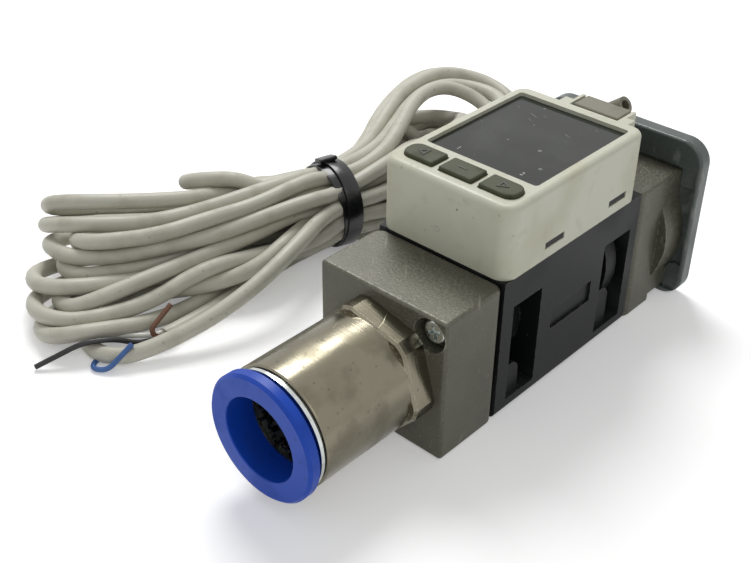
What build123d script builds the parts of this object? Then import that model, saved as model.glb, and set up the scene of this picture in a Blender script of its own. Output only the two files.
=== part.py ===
from build123d import *
from math import cos, hypot, pi, radians, sin, tan
import os

os.makedirs("parts", exist_ok=True)

# Digital flow switch with a push-in tube fitting, a modular adapter plate and a hanked lead.
# Millimetres. X runs across the flow, Y along it from the fitting to the adapter, Z up.
# The floor is Z = 0, and the switch without its lead is centred on X = 0 and Y = 0.

# Port blocks, two metal castings
block_width = 30.0
block_height = 30.4
inlet_block_depth = 16.0
outlet_block_depth = 15.0
block_edge = 0.7
block_corner = 2.2
inlet_thread_depth = 13.0
outlet_thread_diameter = 19.0
outlet_thread_depth = 10.0
passage_diameter = 15.0
outlet_step_depth = 5.5
outlet_step_rise = 1.6
outlet_boss_diameter = 34.4

# Flow body, one black moulding between the blocks
flow_length = 45.0
flow_height = 30.9
flow_edge = 1.6
window_bottom = 2.9
front_window_height = 21.6
front_window_start = 3.3
front_window_width = 8.8
rear_window_height = 21.0
rear_window_end = 2.6
rear_window_width = 9.3
window_depth = 6.4
pipe_diameter = 21.4
pipe_flange_diameter = 27.4
front_flange_place = 3.6
front_flange_thickness = 1.5
rear_flanges = ((11.9, 2.4), (7.8, 3.6))
front_lug_width = 5.0
front_lug_top = 9.6
rear_lug_width = 5.8
rear_lug_top = 11.8
lug_setback = 1.2
label_recess_start = 16.2
label_recess_length = 13.4
label_recess_height = 4.8
label_recess_corner = 0.5
label_recess_depth = 0.5
sensor_pocket_length = 20.0
sensor_pocket_width = 16.0
sensor_pocket_depth = 3.4
sensor_window_length = 9.0
sensor_window_width = 6.0

# Screws through the blocks
screw_diameter = 3.0
screw_clearance = 0.2
thread_clearance = 0.03
screw_head_diameter = 4.8
screw_head_height = 1.9
screw_head_edge = 0.6
screw_length = 20.0
screw_hole_spare = 0.5
inlet_screw_offset = 11.2
inlet_counterbore_diameter = 6.9
inlet_counterbore_depth = 3.2
outlet_screw_offset = 10.6
outlet_counterbore_diameter = 5.2
outlet_counterbore_depth = 2.4
cross_width = 0.7
cross_span = 2.8
cross_depth = 0.9
cross_turn = 20.0

# Flow screens stacked in the inlet mouth of the flow body
screen_count = 3
screen_diameter = 18.0
screen_thickness = 0.5
screen_hole = 1.7
screen_pitch = 2.6
screen_rows = 5
spacer_thickness = 1.2
stack_clearance = 0.1

# Face seals
seal_wall = 1.45
seal_section = 1.5
neck_seal_diameter = 21.8
neck_seal_section = 1.2
adapter_seal_diameter = 21.0
adapter_seal_section = 1.2
seal_side_clearance = 0.05

# Push-in fitting for a 16 mm tube
tube_diameter = 16.0
tube_clearance = 0.1
hex_across_flats = 24.0
hex_turned_diameter = 26.4
hex_depth = 5.0
hex_chamfer = 0.5
hex_turn = 47.0
barrel_diameter = 23.8
barrel_length = 20.7
barrel_edge = 0.5
thread_diameter = 20.9
thread_length = 12.0
thread_gap = 0.05
chuck_bore_diameter = 20.6
chuck_bore_depth = 6.5
seal_bore_diameter = 19.8
seal_bore_depth = 4.5
tube_bore_depth = 8.0
fitting_passage_diameter = 13.6
guide_flange_diameter = 23.2
guide_flange_thickness = 0.7
guide_neck_diameter = 21.8
guide_neck_length = 0.4
guide_sleeve_length = 1.8
collar_flange_diameter = 24.6
collar_flange_thickness = 2.2
collar_edge = 0.55
collar_wall = 1.15
collar_travel = 1.0
collar_stop_gap = 0.1
running_clearance = 0.08
seat_clearance = 0.05
chuck_wall = 0.9
chuck_lip = 0.7
chuck_slots = 12
chuck_slot_width = 0.8

# Adapter plate behind the outlet block
plate_width = 39.2
plate_height = 37.1
plate_thickness = 3.5
plate_corner = 5.0
plate_edge = 0.7
plate_wall = 0.9
pocket_depth = 1.4
pocket_step_depth = 0.7
pocket_top = 31.3
pocket_step_top = 26.8
pocket_bottom = 1.3
plate_lug_radius = 2.4
plate_lug_centre = 5.6
plate_lug_overlap = 0.2
neck_clearance = 0.1
adapter_screw_length = 8.0
adapter_head_diameter = 5.4
adapter_head_height = 1.2

# Display case
case_width = 30.0
case_length = 43.2
case_height = 14.9
case_wall = 1.2
case_top_wall = 1.6
case_corner = 3.0
case_top_edge = 1.2
glass_recess = 0.8
glass_thickness = 1.2
glass_margin = 0.8
glass_opening_width = 25.6
glass_opening_length = 30.0
glass_opening_start = 10.1
glass_corner = 0.8
snap_slot_length = 5.9
snap_slot_height = 1.4
snap_slot_bottom = 2.1
snap_slot_starts = (11.5, 32.3)
snap_tab_thickness = 1.0
snap_tab_height = 4.4
snap_clearance = 0.15
guard_clearance = 0.4
guard_thickness = 0.7
guard_length = 5.3
guard_height = 5.0
guard_base_width = 2.5
guard_base_length = 1.9

# Buttons
button_width = 7.9
button_depth = 5.3
button_start = 2.6
button_pitch = 9.05
button_outer_corner = 2.3
button_inner_corner = 0.5
button_rise = 0.8
button_gap = 0.15
button_travel = 0.4
button_flange_reach = 0.6
button_flange_thickness = 0.8
button_edge = 0.4
button_stem_diameter = 2.6
button_stop_gap = 0.1

# Electronics inside the case
board_thickness = 1.0
board_width = 25.6
board_length = 38.0
board_start = 1.8
board_height = 4.6
board_post_diameter = 3.0
board_post_inset = 2.2
board_corner = 1.0
lcd_border = 0.2
lcd_inset = 0.3
lcd_thickness = 2.2
lcd_ledge = 2.0
light_guide_width = 24.0
light_guide_length = 22.6
light_guide_corner = 1.0
key_mat_width = 25.0
key_mat_depth = 7.0
key_mat_thickness = 1.0
key_dome_diameter = 3.4
key_dome_height = 1.6
key_dome_taper = 12.0
sensor_board_length = 15.0
sensor_board_width = 12.0
sensor_board_thickness = 1.0
sensor_chip_length = 5.0
sensor_chip_width = 3.0
sensor_chip_dip = 0.6
sensor_seal_wall = 1.2
sensor_seal_thickness = 1.0

# Connector at the back of the case
connector_centre = 2.8
socket_width = 10.6
socket_length = 8.4
socket_height = 5.0
socket_wall = 0.8
pin_count = 4
pin_pitch = 2.0
pin_size = 0.6
pin_length = 4.4
pin_hole = 0.9
plug_width = 10.4
plug_length = 5.2
plug_height = 8.0
plug_top_drop = 0.2
plug_gap = 0.3
plug_edge = 0.4
tongue_clearance = 0.1
tongue_reach = 5.6
sleeve_diameter = 3.7
sleeve_length = 6.4
sleeve_bore = 2.2
sleeve_bore_depth = 2.2
sleeve_rise = 36.87
sleeve_drop = 0.4
sleeve_web = 2.6
lead_straight = 10.0

# Lead
lead_diameter = 3.5
core_diameter = 1.1
core_spread = 0.6
core_lead_out = 2.0
neck_radius = 9.3
neck_centre = (-52.4, 16.3)
neck_heading = 75.5
neck_length = 8.0
tie_width = 4.6
tie_thickness = 0.8
tie_clearance = 0.1
lead_pocket_clearance = 0.05
bend_share = 0.45

# Places along the flow, worked out from the sizes above
guide_front_reach = guide_flange_thickness + guide_neck_length
collar_gap = collar_travel + collar_stop_gap
collar_reach = guide_front_reach + collar_gap + collar_flange_thickness
fitting_reach = hex_depth + barrel_length + collar_reach
switch_length = fitting_reach + inlet_block_depth + flow_length + outlet_block_depth + plate_thickness
collar_front = -switch_length / 2
collar_back = collar_front + collar_flange_thickness
guide_front = collar_back + collar_gap
barrel_front = guide_front + guide_front_reach
hex_front = barrel_front + barrel_length
inlet_front = hex_front + hex_depth
flow_front = inlet_front + inlet_block_depth
flow_back = flow_front + flow_length
plate_front = flow_back + outlet_block_depth
plate_back = plate_front + plate_thickness
port_height = block_height / 2
seal_diameter = screen_diameter + 2 * (stack_clearance + seal_wall) + seal_section
case_top = flow_height + case_height
case_back = flow_front + case_length


# Planes: a station is seen from the fitting side, and an extrusion from it grows towards the fitting.
def station(y):
    return Plane.XZ.offset(-y)


def deck(z):
    return Plane.XY.offset(z)


def side_plane(x):
    return Plane.YZ.offset(x)


def finish(part, name):
    part.label = name
    export_step(part, f"parts/{name}.step")
    print(f"{name}: volume {part.volume:.1f}")


def corner_points(offset, places):
    return [(offset * x, port_height + offset * z) for x, z in places]


# Two screws hold each block, on one diagonal. The adapter's screws use the other diagonal.
main_diagonal = ((1, 1), (-1, -1))
other_diagonal = ((-1, 1), (1, -1))

# Inlet block: the fitting screws into its front, two screws clamp it to the flow body
with BuildPart() as inlet_block:
    with BuildSketch(station(flow_front)):
        with Locations((0, port_height)):
            Rectangle(block_width, block_height)
    extrude(amount=inlet_block_depth)
    fillet(inlet_block.edges().filter_by(Axis.Z).group_by(Axis.Y)[-1], block_corner)
    fillet(inlet_block.edges().filter_by(Axis.Y), block_edge)
    fillet(inlet_block.faces().sort_by(Axis.Y)[0].edges(), block_edge)
    with BuildSketch(station(inlet_front)):
        with Locations((0, port_height)):
            Circle(thread_diameter / 2 + thread_gap)
    extrude(amount=-inlet_thread_depth, mode=Mode.SUBTRACT)
    with BuildSketch(station(inlet_front)):
        with Locations((0, port_height)):
            Circle(passage_diameter / 2)
    extrude(amount=-inlet_block_depth, mode=Mode.SUBTRACT)
    with BuildSketch(station(inlet_front)):
        with Locations(corner_points(inlet_screw_offset, main_diagonal)):
            Circle(inlet_counterbore_diameter / 2)
    extrude(amount=-inlet_counterbore_depth, mode=Mode.SUBTRACT)
    with BuildSketch(station(inlet_front)):
        with Locations(corner_points(inlet_screw_offset, main_diagonal)):
            Circle(screw_diameter / 2 + screw_clearance)
    extrude(amount=-inlet_block_depth, mode=Mode.SUBTRACT)
finish(inlet_block.part, "inlet_block")

# Outlet block: full height at the flow body, then a step under it and a round neck boss behind
outlet_full_depth = outlet_block_depth - outlet_step_depth
outlet_back = plate_front + pocket_depth
step_height = block_height - outlet_step_rise
with BuildPart() as outlet_block:
    with BuildSketch(station(flow_back + outlet_full_depth)):
        with Locations((0, port_height)):
            Rectangle(block_width, block_height)
    extrude(amount=outlet_full_depth)
    fillet(outlet_block.edges().filter_by(Axis.Z).group_by(Axis.Y)[0], block_corner)
    fillet(outlet_block.edges().filter_by(Axis.Y), block_edge)
    with BuildSketch(station(outlet_back)):
        with Locations((0, port_height)):
            Circle(outlet_boss_diameter / 2)
        with Locations((0, outlet_step_rise + step_height / 2)):
            Rectangle(outlet_boss_diameter, step_height, mode=Mode.INTERSECT)
            RectangleRounded(block_width, step_height, block_edge)
    extrude(amount=outlet_back - flow_back - outlet_full_depth)
    with BuildSketch(station(outlet_back)):
        with Locations((0, port_height)):
            Circle(outlet_thread_diameter / 2)
    extrude(amount=outlet_thread_depth, mode=Mode.SUBTRACT)
    with BuildSketch(station(outlet_back)):
        with Locations((0, port_height)):
            Circle(passage_diameter / 2)
    extrude(amount=outlet_back - flow_back, mode=Mode.SUBTRACT)
    with BuildSketch(station(outlet_back)):
        with Locations(corner_points(outlet_screw_offset, main_diagonal)):
            Circle(outlet_counterbore_diameter / 2)
    extrude(amount=outlet_counterbore_depth, mode=Mode.SUBTRACT)
    with BuildSketch(station(outlet_back)):
        with Locations(corner_points(outlet_screw_offset, main_diagonal)):
            Circle(screw_diameter / 2 + screw_clearance)
    extrude(amount=outlet_back - flow_back, mode=Mode.SUBTRACT)
    with BuildSketch(station(outlet_back)):
        with Locations(corner_points(outlet_screw_offset, other_diagonal)):
            Circle(screw_diameter / 2 + thread_clearance)
    extrude(amount=adapter_screw_length, mode=Mode.SUBTRACT)
    with BuildSketch(station(outlet_back)):
        with Locations((0, port_height)):
            Circle((neck_seal_diameter + neck_seal_section) / 2 + seal_side_clearance)
            Circle((neck_seal_diameter - neck_seal_section) / 2 - seal_side_clearance, mode=Mode.SUBTRACT)
    extrude(amount=neck_seal_section, mode=Mode.SUBTRACT)
finish(outlet_block.part, "outlet_block")

# Flow body: side windows open on to the pipe, its flanges and the lugs round the screw holes
stack_length = screen_count * screen_thickness + (screen_count - 1) * spacer_thickness
front_window = flow_front + front_window_start
rear_window = flow_back - rear_window_end - rear_window_width
windows = (
    (front_window, front_window_width, front_window_height, front_lug_width, front_lug_top),
    (rear_window, rear_window_width, rear_window_height, rear_lug_width, rear_lug_top),
)
# Each flange of the pipe as the place of its front face and its thickness
pipe_flanges = [(flow_front + front_flange_place, front_flange_thickness)]
pipe_flanges += [(flow_back - reach, thickness) for reach, thickness in rear_flanges]
inlet_screw_reach = screw_length - (inlet_block_depth - inlet_counterbore_depth) + screw_hole_spare
outlet_screw_reach = screw_length - (outlet_back - flow_back - outlet_counterbore_depth) + screw_hole_spare
tab_outside = case_width / 2 - case_wall - snap_clearance
sensor_middle = flow_length / 2
with BuildPart() as flow_body:
    with BuildSketch(station(flow_back)):
        with Locations((0, flow_height / 2)):
            Rectangle(block_width, flow_height)
    extrude(amount=flow_length)
    fillet(flow_body.edges().filter_by(Axis.Y).group_by(Axis.Z)[0], flow_edge)
    for side in (-1, 1):
        inner_wall = side * (block_width / 2 - window_depth)
        for start, width, height, lug_width, lug_top in windows:
            lug_middle = start + lug_width / 2
            lug_rise = lug_top - lug_width / 2
            with BuildSketch(side_plane(inner_wall)):
                with Locations((start, window_bottom)):
                    Rectangle(width, height, align=(Align.MIN, Align.MIN))
            extrude(amount=side * window_depth, mode=Mode.SUBTRACT)
            with BuildSketch(side_plane(inner_wall)):
                with Locations((lug_middle, window_bottom)):
                    Rectangle(lug_width, lug_rise - window_bottom, align=(Align.CENTER, Align.MIN))
                with Locations((lug_middle, lug_rise)):
                    Circle(lug_width / 2)
            extrude(amount=side * (window_depth - lug_setback))
        with BuildSketch(side_plane(side * block_width / 2)):
            with Locations((flow_front + label_recess_start + label_recess_length / 2, port_height)):
                RectangleRounded(label_recess_length, label_recess_height, label_recess_corner)
        extrude(amount=-side * label_recess_depth, mode=Mode.SUBTRACT)
    with BuildSketch(station(flow_back)):
        with Locations((0, port_height)):
            Circle(pipe_diameter / 2)
    extrude(amount=flow_length)
    for place, thickness in pipe_flanges:
        with BuildSketch(station(place + thickness)):
            with Locations((0, port_height)):
                Circle(pipe_flange_diameter / 2)
        extrude(amount=thickness)
    with BuildSketch(station(flow_back)):
        with Locations((0, port_height)):
            Circle(passage_diameter / 2)
    extrude(amount=flow_length, mode=Mode.SUBTRACT)
    with BuildSketch(station(flow_front)):
        with Locations((0, port_height)):
            Circle(screen_diameter / 2 + stack_clearance)
    extrude(amount=-stack_length, mode=Mode.SUBTRACT)
    with BuildSketch(station(flow_front)):
        with Locations(corner_points(inlet_screw_offset, main_diagonal)):
            Circle(screw_diameter / 2 + thread_clearance)
    extrude(amount=-inlet_screw_reach, mode=Mode.SUBTRACT)
    with BuildSketch(station(flow_back)):
        with Locations(corner_points(outlet_screw_offset, main_diagonal)):
            Circle(screw_diameter / 2 + thread_clearance)
    extrude(amount=outlet_screw_reach, mode=Mode.SUBTRACT)
    for face_y, direction in ((flow_front, -1), (flow_back, 1)):
        with BuildSketch(station(face_y)):
            with Locations((0, port_height)):
                Circle((seal_diameter + seal_section) / 2 + seal_side_clearance)
                Circle((seal_diameter - seal_section) / 2 - seal_side_clearance, mode=Mode.SUBTRACT)
        extrude(amount=direction * seal_section, mode=Mode.SUBTRACT)
    with BuildSketch(deck(flow_height)):
        with Locations((0, flow_front + sensor_middle)):
            Rectangle(sensor_pocket_width, sensor_pocket_length)
    extrude(amount=-sensor_pocket_depth, mode=Mode.SUBTRACT)
    with BuildSketch(deck(flow_height)):
        with Locations((0, flow_front + sensor_middle)):
            Rectangle(sensor_window_width, sensor_window_length)
    extrude(amount=port_height - flow_height, mode=Mode.SUBTRACT)
    # Snap tabs that reach up inside the case and hook into its side slots
    for side in (-1, 1):
        for start in snap_slot_starts:
            slot_middle = flow_front + start + snap_slot_length / 2
            with BuildSketch(deck(flow_height)):
                with Locations((side * (tab_outside - snap_tab_thickness / 2), slot_middle)):
                    Rectangle(snap_tab_thickness, snap_slot_length - 2 * snap_clearance)
            extrude(amount=snap_tab_height)
            with BuildSketch(deck(flow_height + snap_slot_bottom + snap_clearance)):
                with Locations((side * (tab_outside + case_wall / 2), slot_middle)):
                    Rectangle(case_wall, snap_slot_length - 2 * snap_clearance)
            extrude(amount=snap_slot_height - 2 * snap_clearance)
    # Posts that carry the main board
    with BuildSketch(deck(flow_height)):
        with Locations((0, flow_front + board_start + board_length / 2)):
            with GridLocations(board_width - 2 * board_post_inset, board_length - 2 * board_post_inset, 2, 2):
                Circle(board_post_diameter / 2)
    extrude(amount=board_height)
finish(flow_body.part, "flow_body")


# Pan head screw with a cross recess, laid along Y. The head's face looks back along the given way.
def block_screws(name, seat_y, way, offset, places, length):
    head_face = station(seat_y - way * screw_head_height)
    with BuildPart() as screws:
        with BuildSketch(head_face):
            with Locations(corner_points(offset, places)):
                Circle(screw_head_diameter / 2)
        extrude(amount=-way * screw_head_height)
        rims = screws.edges().filter_by(GeomType.CIRCLE).group_by(Axis.Y)[0 if way > 0 else -1]
        fillet(rims, screw_head_edge)
        with BuildSketch(station(seat_y)):
            with Locations(corner_points(offset, places)):
                Circle(screw_diameter / 2)
        extrude(amount=-way * length)
        with BuildSketch(head_face):
            with Locations(corner_points(offset, places)):
                Rectangle(cross_span, cross_width, rotation=cross_turn)
                Rectangle(cross_width, cross_span, rotation=cross_turn)
        extrude(amount=-way * cross_depth, mode=Mode.SUBTRACT)
    finish(screws.part, name)


inlet_seat = inlet_front + inlet_counterbore_depth
outlet_seat = outlet_back - outlet_counterbore_depth
block_screws("inlet_screws", inlet_seat, 1, inlet_screw_offset, main_diagonal, screw_length)
block_screws("outlet_screws", outlet_seat, -1, outlet_screw_offset, main_diagonal, screw_length)


# Round seals of circular section, each flush in its groove
def face_seal(name, y, diameter, section, way):
    with BuildPart() as seal:
        with BuildSketch(Plane.YZ):
            with Locations((y + way * section / 2, port_height + diameter / 2)):
                Circle(section / 2)
        revolve(axis=Axis((0, 0, port_height), (0, 1, 0)))
    finish(seal.part, name)


face_seal("inlet_seal", flow_front, seal_diameter, seal_section, 1)
face_seal("outlet_seal", flow_back, seal_diameter, seal_section, -1)
face_seal("neck_seal", outlet_back, neck_seal_diameter, neck_seal_section, -1)
face_seal("adapter_seal", plate_back, adapter_seal_diameter, adapter_seal_section, -1)

# Flow screens: perforated discs held apart by spacer rings in the mouth of the pipe
with BuildPart() as flow_screens:
    for layer in range(screen_count):
        back = flow_front + screen_thickness + layer * (screen_thickness + spacer_thickness)
        with BuildSketch(station(back)):
            with Locations((0, port_height)):
                Circle(screen_diameter / 2)
                with GridLocations(screen_pitch, screen_pitch, screen_rows, screen_rows):
                    Rectangle(screen_hole, screen_hole, mode=Mode.SUBTRACT)
        extrude(amount=screen_thickness)
finish(flow_screens.part, "flow_screens")

with BuildPart() as screen_spacers:
    for layer in range(screen_count - 1):
        front = flow_front + screen_thickness + layer * (screen_thickness + spacer_thickness)
        with BuildSketch(station(front + spacer_thickness)):
            with Locations((0, port_height)):
                Circle(screen_diameter / 2)
                Circle(passage_diameter / 2 + stack_clearance, mode=Mode.SUBTRACT)
        extrude(amount=spacer_thickness)
finish(screen_spacers.part, "screen_spacers")

# Flow sensor: a small board over the slot in the pipe, on a flat gasket, with its chip in the flow
sensor_floor = flow_height - sensor_pocket_depth
with BuildPart() as sensor_gasket:
    with BuildSketch(deck(sensor_floor)):
        with Locations((0, flow_front + sensor_middle)):
            Rectangle(sensor_window_width + 2 * sensor_seal_wall, sensor_window_length + 2 * sensor_seal_wall)
            Rectangle(sensor_window_width, sensor_window_length, mode=Mode.SUBTRACT)
    extrude(amount=sensor_seal_thickness)
finish(sensor_gasket.part, "sensor_gasket")

sensor_underside = sensor_floor + sensor_seal_thickness
with BuildPart() as flow_sensor:
    with BuildSketch(deck(sensor_underside)):
        with Locations((0, flow_front + sensor_middle)):
            Rectangle(sensor_board_width, sensor_board_length)
    extrude(amount=sensor_board_thickness)
    with BuildSketch(deck(sensor_underside)):
        with Locations((0, flow_front + sensor_middle)):
            Rectangle(sensor_chip_width, sensor_chip_length)
    extrude(amount=port_height + passage_diameter / 2 - sensor_chip_dip - sensor_underside)
finish(flow_sensor.part, "flow_sensor")

# Display case: one thin moulding, open below, with openings for the glass, the keys and the plug
case_middle = flow_front + case_length / 2
glass_middle = flow_front + glass_opening_start + glass_opening_length / 2
glass_top = case_top - glass_recess
glass_bottom = glass_top - glass_thickness
glass_width = glass_opening_width + 2 * glass_margin
glass_length = glass_opening_length + 2 * glass_margin
inner_top = case_top - case_top_wall
button_middle = flow_front + button_start + button_depth / 2
socket_bottom = flow_height + board_height + board_thickness
plug_top = case_top - plug_top_drop


# Key outline in its place: small corners, and large ones at the outer end of the left and right keys
def key_outline(side, shrink):
    large_corner = button_outer_corner - shrink
    with BuildSketch() as outline:
        with Locations((side * button_pitch, button_middle)):
            Rectangle(button_width - 2 * shrink, button_depth - 2 * shrink)
        fillet(outline.vertices().group_by(Axis.X)[0], large_corner if side < 0 else button_inner_corner)
        fillet(outline.vertices().group_by(Axis.X)[-1], large_corner if side > 0 else button_inner_corner)
    return outline.sketch


key_openings = [key_outline(side, 0) for side in (-1, 0, 1)]

with BuildPart() as display_case:
    with BuildSketch(deck(flow_height)):
        with Locations((0, case_middle)):
            RectangleRounded(case_width, case_length, case_corner)
    extrude(amount=case_height)
    fillet(display_case.faces().sort_by(Axis.Z)[-1].edges(), case_top_edge)
    # Rear guards that stand each side of the plug
    for side in (-1, 1):
        inner_face = connector_centre + side * (plug_width / 2 + guard_clearance)
        outward = Align.MAX if side < 0 else Align.MIN
        with BuildSketch(deck(plug_top - guard_height)):
            with Locations((inner_face, case_back - case_wall)):
                Rectangle(guard_thickness, guard_length + case_wall, align=(outward, Align.MIN))
                Rectangle(guard_base_width, guard_base_length + case_wall, align=(outward, Align.MIN))
        extrude(amount=guard_height)
    with BuildSketch(deck(flow_height)):
        with Locations((0, case_middle)):
            RectangleRounded(case_width - 2 * case_wall, case_length - 2 * case_wall, case_corner - case_wall)
    extrude(amount=case_height - case_top_wall, mode=Mode.SUBTRACT)
    with BuildSketch(deck(inner_top)):
        with Locations((0, glass_middle)):
            RectangleRounded(glass_width, glass_length, glass_corner + glass_margin)
    extrude(amount=glass_top - inner_top, mode=Mode.SUBTRACT)
    with BuildSketch(deck(inner_top)):
        with Locations((0, glass_middle)):
            RectangleRounded(glass_opening_width, glass_opening_length, glass_corner)
    extrude(amount=case_top_wall, mode=Mode.SUBTRACT)
    with BuildSketch(deck(inner_top)):
        add(key_openings)
    extrude(amount=case_top_wall, mode=Mode.SUBTRACT)
    for side in (-1, 1):
        for start in snap_slot_starts:
            with BuildSketch(side_plane(side * (case_width / 2 - case_wall))):
                with Locations((flow_front + start, flow_height + snap_slot_bottom)):
                    Rectangle(snap_slot_length, snap_slot_height, align=(Align.MIN, Align.MIN))
            extrude(amount=side * case_wall, mode=Mode.SUBTRACT)
    with BuildSketch(station(case_back)):
        with Locations((connector_centre, socket_bottom)):
            Rectangle(socket_width - 2 * socket_wall, socket_height - socket_wall,
                      align=(Align.CENTER, Align.MIN))
    extrude(amount=case_wall, mode=Mode.SUBTRACT)
finish(display_case.part, "display_case")

# Smoked window, liquid crystal panel and light guide, stacked under the case's opening
with BuildPart() as display_glass:
    with BuildSketch(deck(glass_bottom)):
        with Locations((0, glass_middle)):
            RectangleRounded(glass_width - 2 * seat_clearance, glass_length - 2 * seat_clearance,
                             glass_corner + glass_margin)
    extrude(amount=glass_thickness)
finish(display_glass.part, "display_glass")

lcd_width = glass_opening_width + 2 * lcd_border
lcd_length = glass_opening_length - 2 * lcd_inset
lcd_front = glass_middle - lcd_length / 2
with BuildPart() as lcd_panel:
    with BuildSketch(deck(glass_bottom)):
        with Locations((0, lcd_front)):
            Rectangle(lcd_width, lcd_length - lcd_ledge, align=(Align.CENTER, Align.MIN))
    extrude(amount=-lcd_thickness / 2)
    with BuildSketch(deck(glass_bottom - lcd_thickness / 2)):
        with Locations((0, lcd_front)):
            Rectangle(lcd_width, lcd_length, align=(Align.CENTER, Align.MIN))
    extrude(amount=-lcd_thickness / 2)
finish(lcd_panel.part, "lcd_panel")

board_bottom = flow_height + board_height
board_top = board_bottom + board_thickness
with BuildPart() as light_guide:
    with BuildSketch(deck(board_top)):
        with Locations((0, lcd_front + light_guide_length / 2)):
            RectangleRounded(light_guide_width, light_guide_length, light_guide_corner)
    extrude(amount=glass_bottom - lcd_thickness - board_top)
finish(light_guide.part, "light_guide")

with BuildPart() as main_board:
    with BuildSketch(deck(board_bottom)):
        with Locations((0, flow_front + board_start + board_length / 2)):
            RectangleRounded(board_width, board_length, board_corner)
    extrude(amount=board_thickness)
finish(main_board.part, "main_board")

# Rubber key mat with one dome under each button
cap_bottom = inner_top - button_flange_thickness - button_stop_gap
dome_top = board_top + key_mat_thickness + key_dome_height
stem_bottom = dome_top + button_travel + button_stop_gap
with BuildPart() as key_mat:
    with BuildSketch(deck(board_top)):
        with Locations((0, flow_front + board_start + key_mat_depth / 2)):
            RectangleRounded(key_mat_width, key_mat_depth, board_corner)
    extrude(amount=key_mat_thickness)
    with BuildSketch(deck(board_top)):
        with Locations([(side * button_pitch, button_middle) for side in (-1, 0, 1)]):
            Circle(key_dome_diameter / 2)
    extrude(amount=dome_top - board_top, taper=key_dome_taper)
finish(key_mat.part, "key_mat")

# Buttons: a cap through the case, a flange under its top wall and a stem over the dome
for name, side in (("button_left", -1), ("button_centre", 0), ("button_right", 1)):
    cap_outline = key_outline(side, button_gap)
    with BuildPart() as button:
        with BuildSketch(deck(cap_bottom)):
            add(cap_outline)
        extrude(amount=case_top + button_rise - cap_bottom)
        fillet(button.faces().sort_by(Axis.Z)[-1].edges(), button_edge)
        with BuildSketch(deck(cap_bottom)):
            with Locations((side * button_pitch, button_middle)):
                Rectangle(button_width - 2 * button_gap - 2 * button_outer_corner,
                          button_depth + 2 * button_flange_reach)
        extrude(amount=button_flange_thickness)
        with BuildSketch(deck(stem_bottom)):
            with Locations((side * button_pitch, button_middle)):
                Circle(button_stem_diameter / 2)
        extrude(amount=cap_bottom - stem_bottom)
    finish(button.part, name)

# Board connector: a shrouded housing with its pins, open to the back of the case
socket_back = case_back - case_wall
with BuildPart() as socket_housing:
    with BuildSketch(deck(socket_bottom)):
        with Locations((connector_centre, socket_back - socket_length / 2)):
            Rectangle(socket_width, socket_length)
    extrude(amount=socket_height)
    with BuildSketch(station(socket_back)):
        with Locations((connector_centre, socket_bottom + socket_wall)):
            Rectangle(socket_width - 2 * socket_wall, socket_height - 2 * socket_wall,
                      align=(Align.CENTER, Align.MIN))
    extrude(amount=socket_length - socket_wall, mode=Mode.SUBTRACT)
    pin_height = socket_bottom + socket_height / 2
    with BuildSketch(station(socket_back)):
        with Locations((connector_centre, pin_height)):
            with GridLocations(pin_pitch, pin_pitch, pin_count, 1):
                Rectangle(pin_size, pin_size)
    extrude(amount=socket_length, mode=Mode.SUBTRACT)
finish(socket_housing.part, "socket_housing")

pin_front = socket_back - socket_length
with BuildPart() as socket_pins:
    with BuildSketch(station(pin_front + pin_length)):
        with Locations((connector_centre, pin_height)):
            with GridLocations(pin_pitch, pin_pitch, pin_count, 1):
                Rectangle(pin_size, pin_size)
    extrude(amount=pin_length)
finish(socket_pins.part, "socket_pins")

# Plug: body between the guards, tongue in the socket, and a sleeve that takes the end of the lead
plug_front = case_back + plug_gap
plug_back = plug_front + plug_length
sleeve_way = Vector(cos(radians(sleeve_rise)), 0, sin(radians(sleeve_rise)))
sleeve_middle = Vector(connector_centre, plug_back + sleeve_diameter / 2,
                       plug_top - sleeve_drop - sleeve_diameter / 2)
sleeve_start = sleeve_middle - sleeve_way * (sleeve_length / 2)
sleeve_end = sleeve_middle + sleeve_way * (sleeve_length / 2)
with BuildPart() as plug:
    with BuildSketch(deck(plug_top - plug_height)):
        with Locations((connector_centre, plug_front + plug_length / 2)):
            RectangleRounded(plug_width, plug_length, plug_edge)
    extrude(amount=plug_height)
    chamfer(plug.faces().sort_by(Axis.Z)[-1].edges(), plug_edge / 2)
    with BuildSketch(station(plug_front)):
        with Locations((connector_centre, pin_height)):
            Rectangle(socket_width - 2 * socket_wall - 2 * tongue_clearance,
                      socket_height - 2 * socket_wall - 2 * tongue_clearance)
    extrude(amount=plug_front - socket_back + tongue_reach)
    with BuildSketch(station(plug_front)):
        with Locations((connector_centre, pin_height)):
            with GridLocations(pin_pitch, pin_pitch, pin_count, 1):
                Rectangle(pin_hole, pin_hole)
    extrude(amount=plug_front - socket_back + tongue_reach, mode=Mode.SUBTRACT)
    with BuildSketch(Plane(origin=sleeve_start, x_dir=(0, 1, 0), z_dir=sleeve_way)):
        Circle(sleeve_diameter / 2)
    extrude(amount=sleeve_length)
    with BuildSketch(deck(sleeve_middle.Z)):
        with Locations((connector_centre, plug_back)):
            Rectangle(sleeve_web, sleeve_diameter / 2, align=(Align.CENTER, Align.MIN))
    extrude(amount=-sleeve_diameter / 2)
    with BuildSketch(Plane(origin=sleeve_end, x_dir=(0, 1, 0), z_dir=sleeve_way)):
        Circle(sleeve_bore / 2)
    extrude(amount=-sleeve_bore_depth, mode=Mode.SUBTRACT)
finish(plug.part, "plug")

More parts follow.
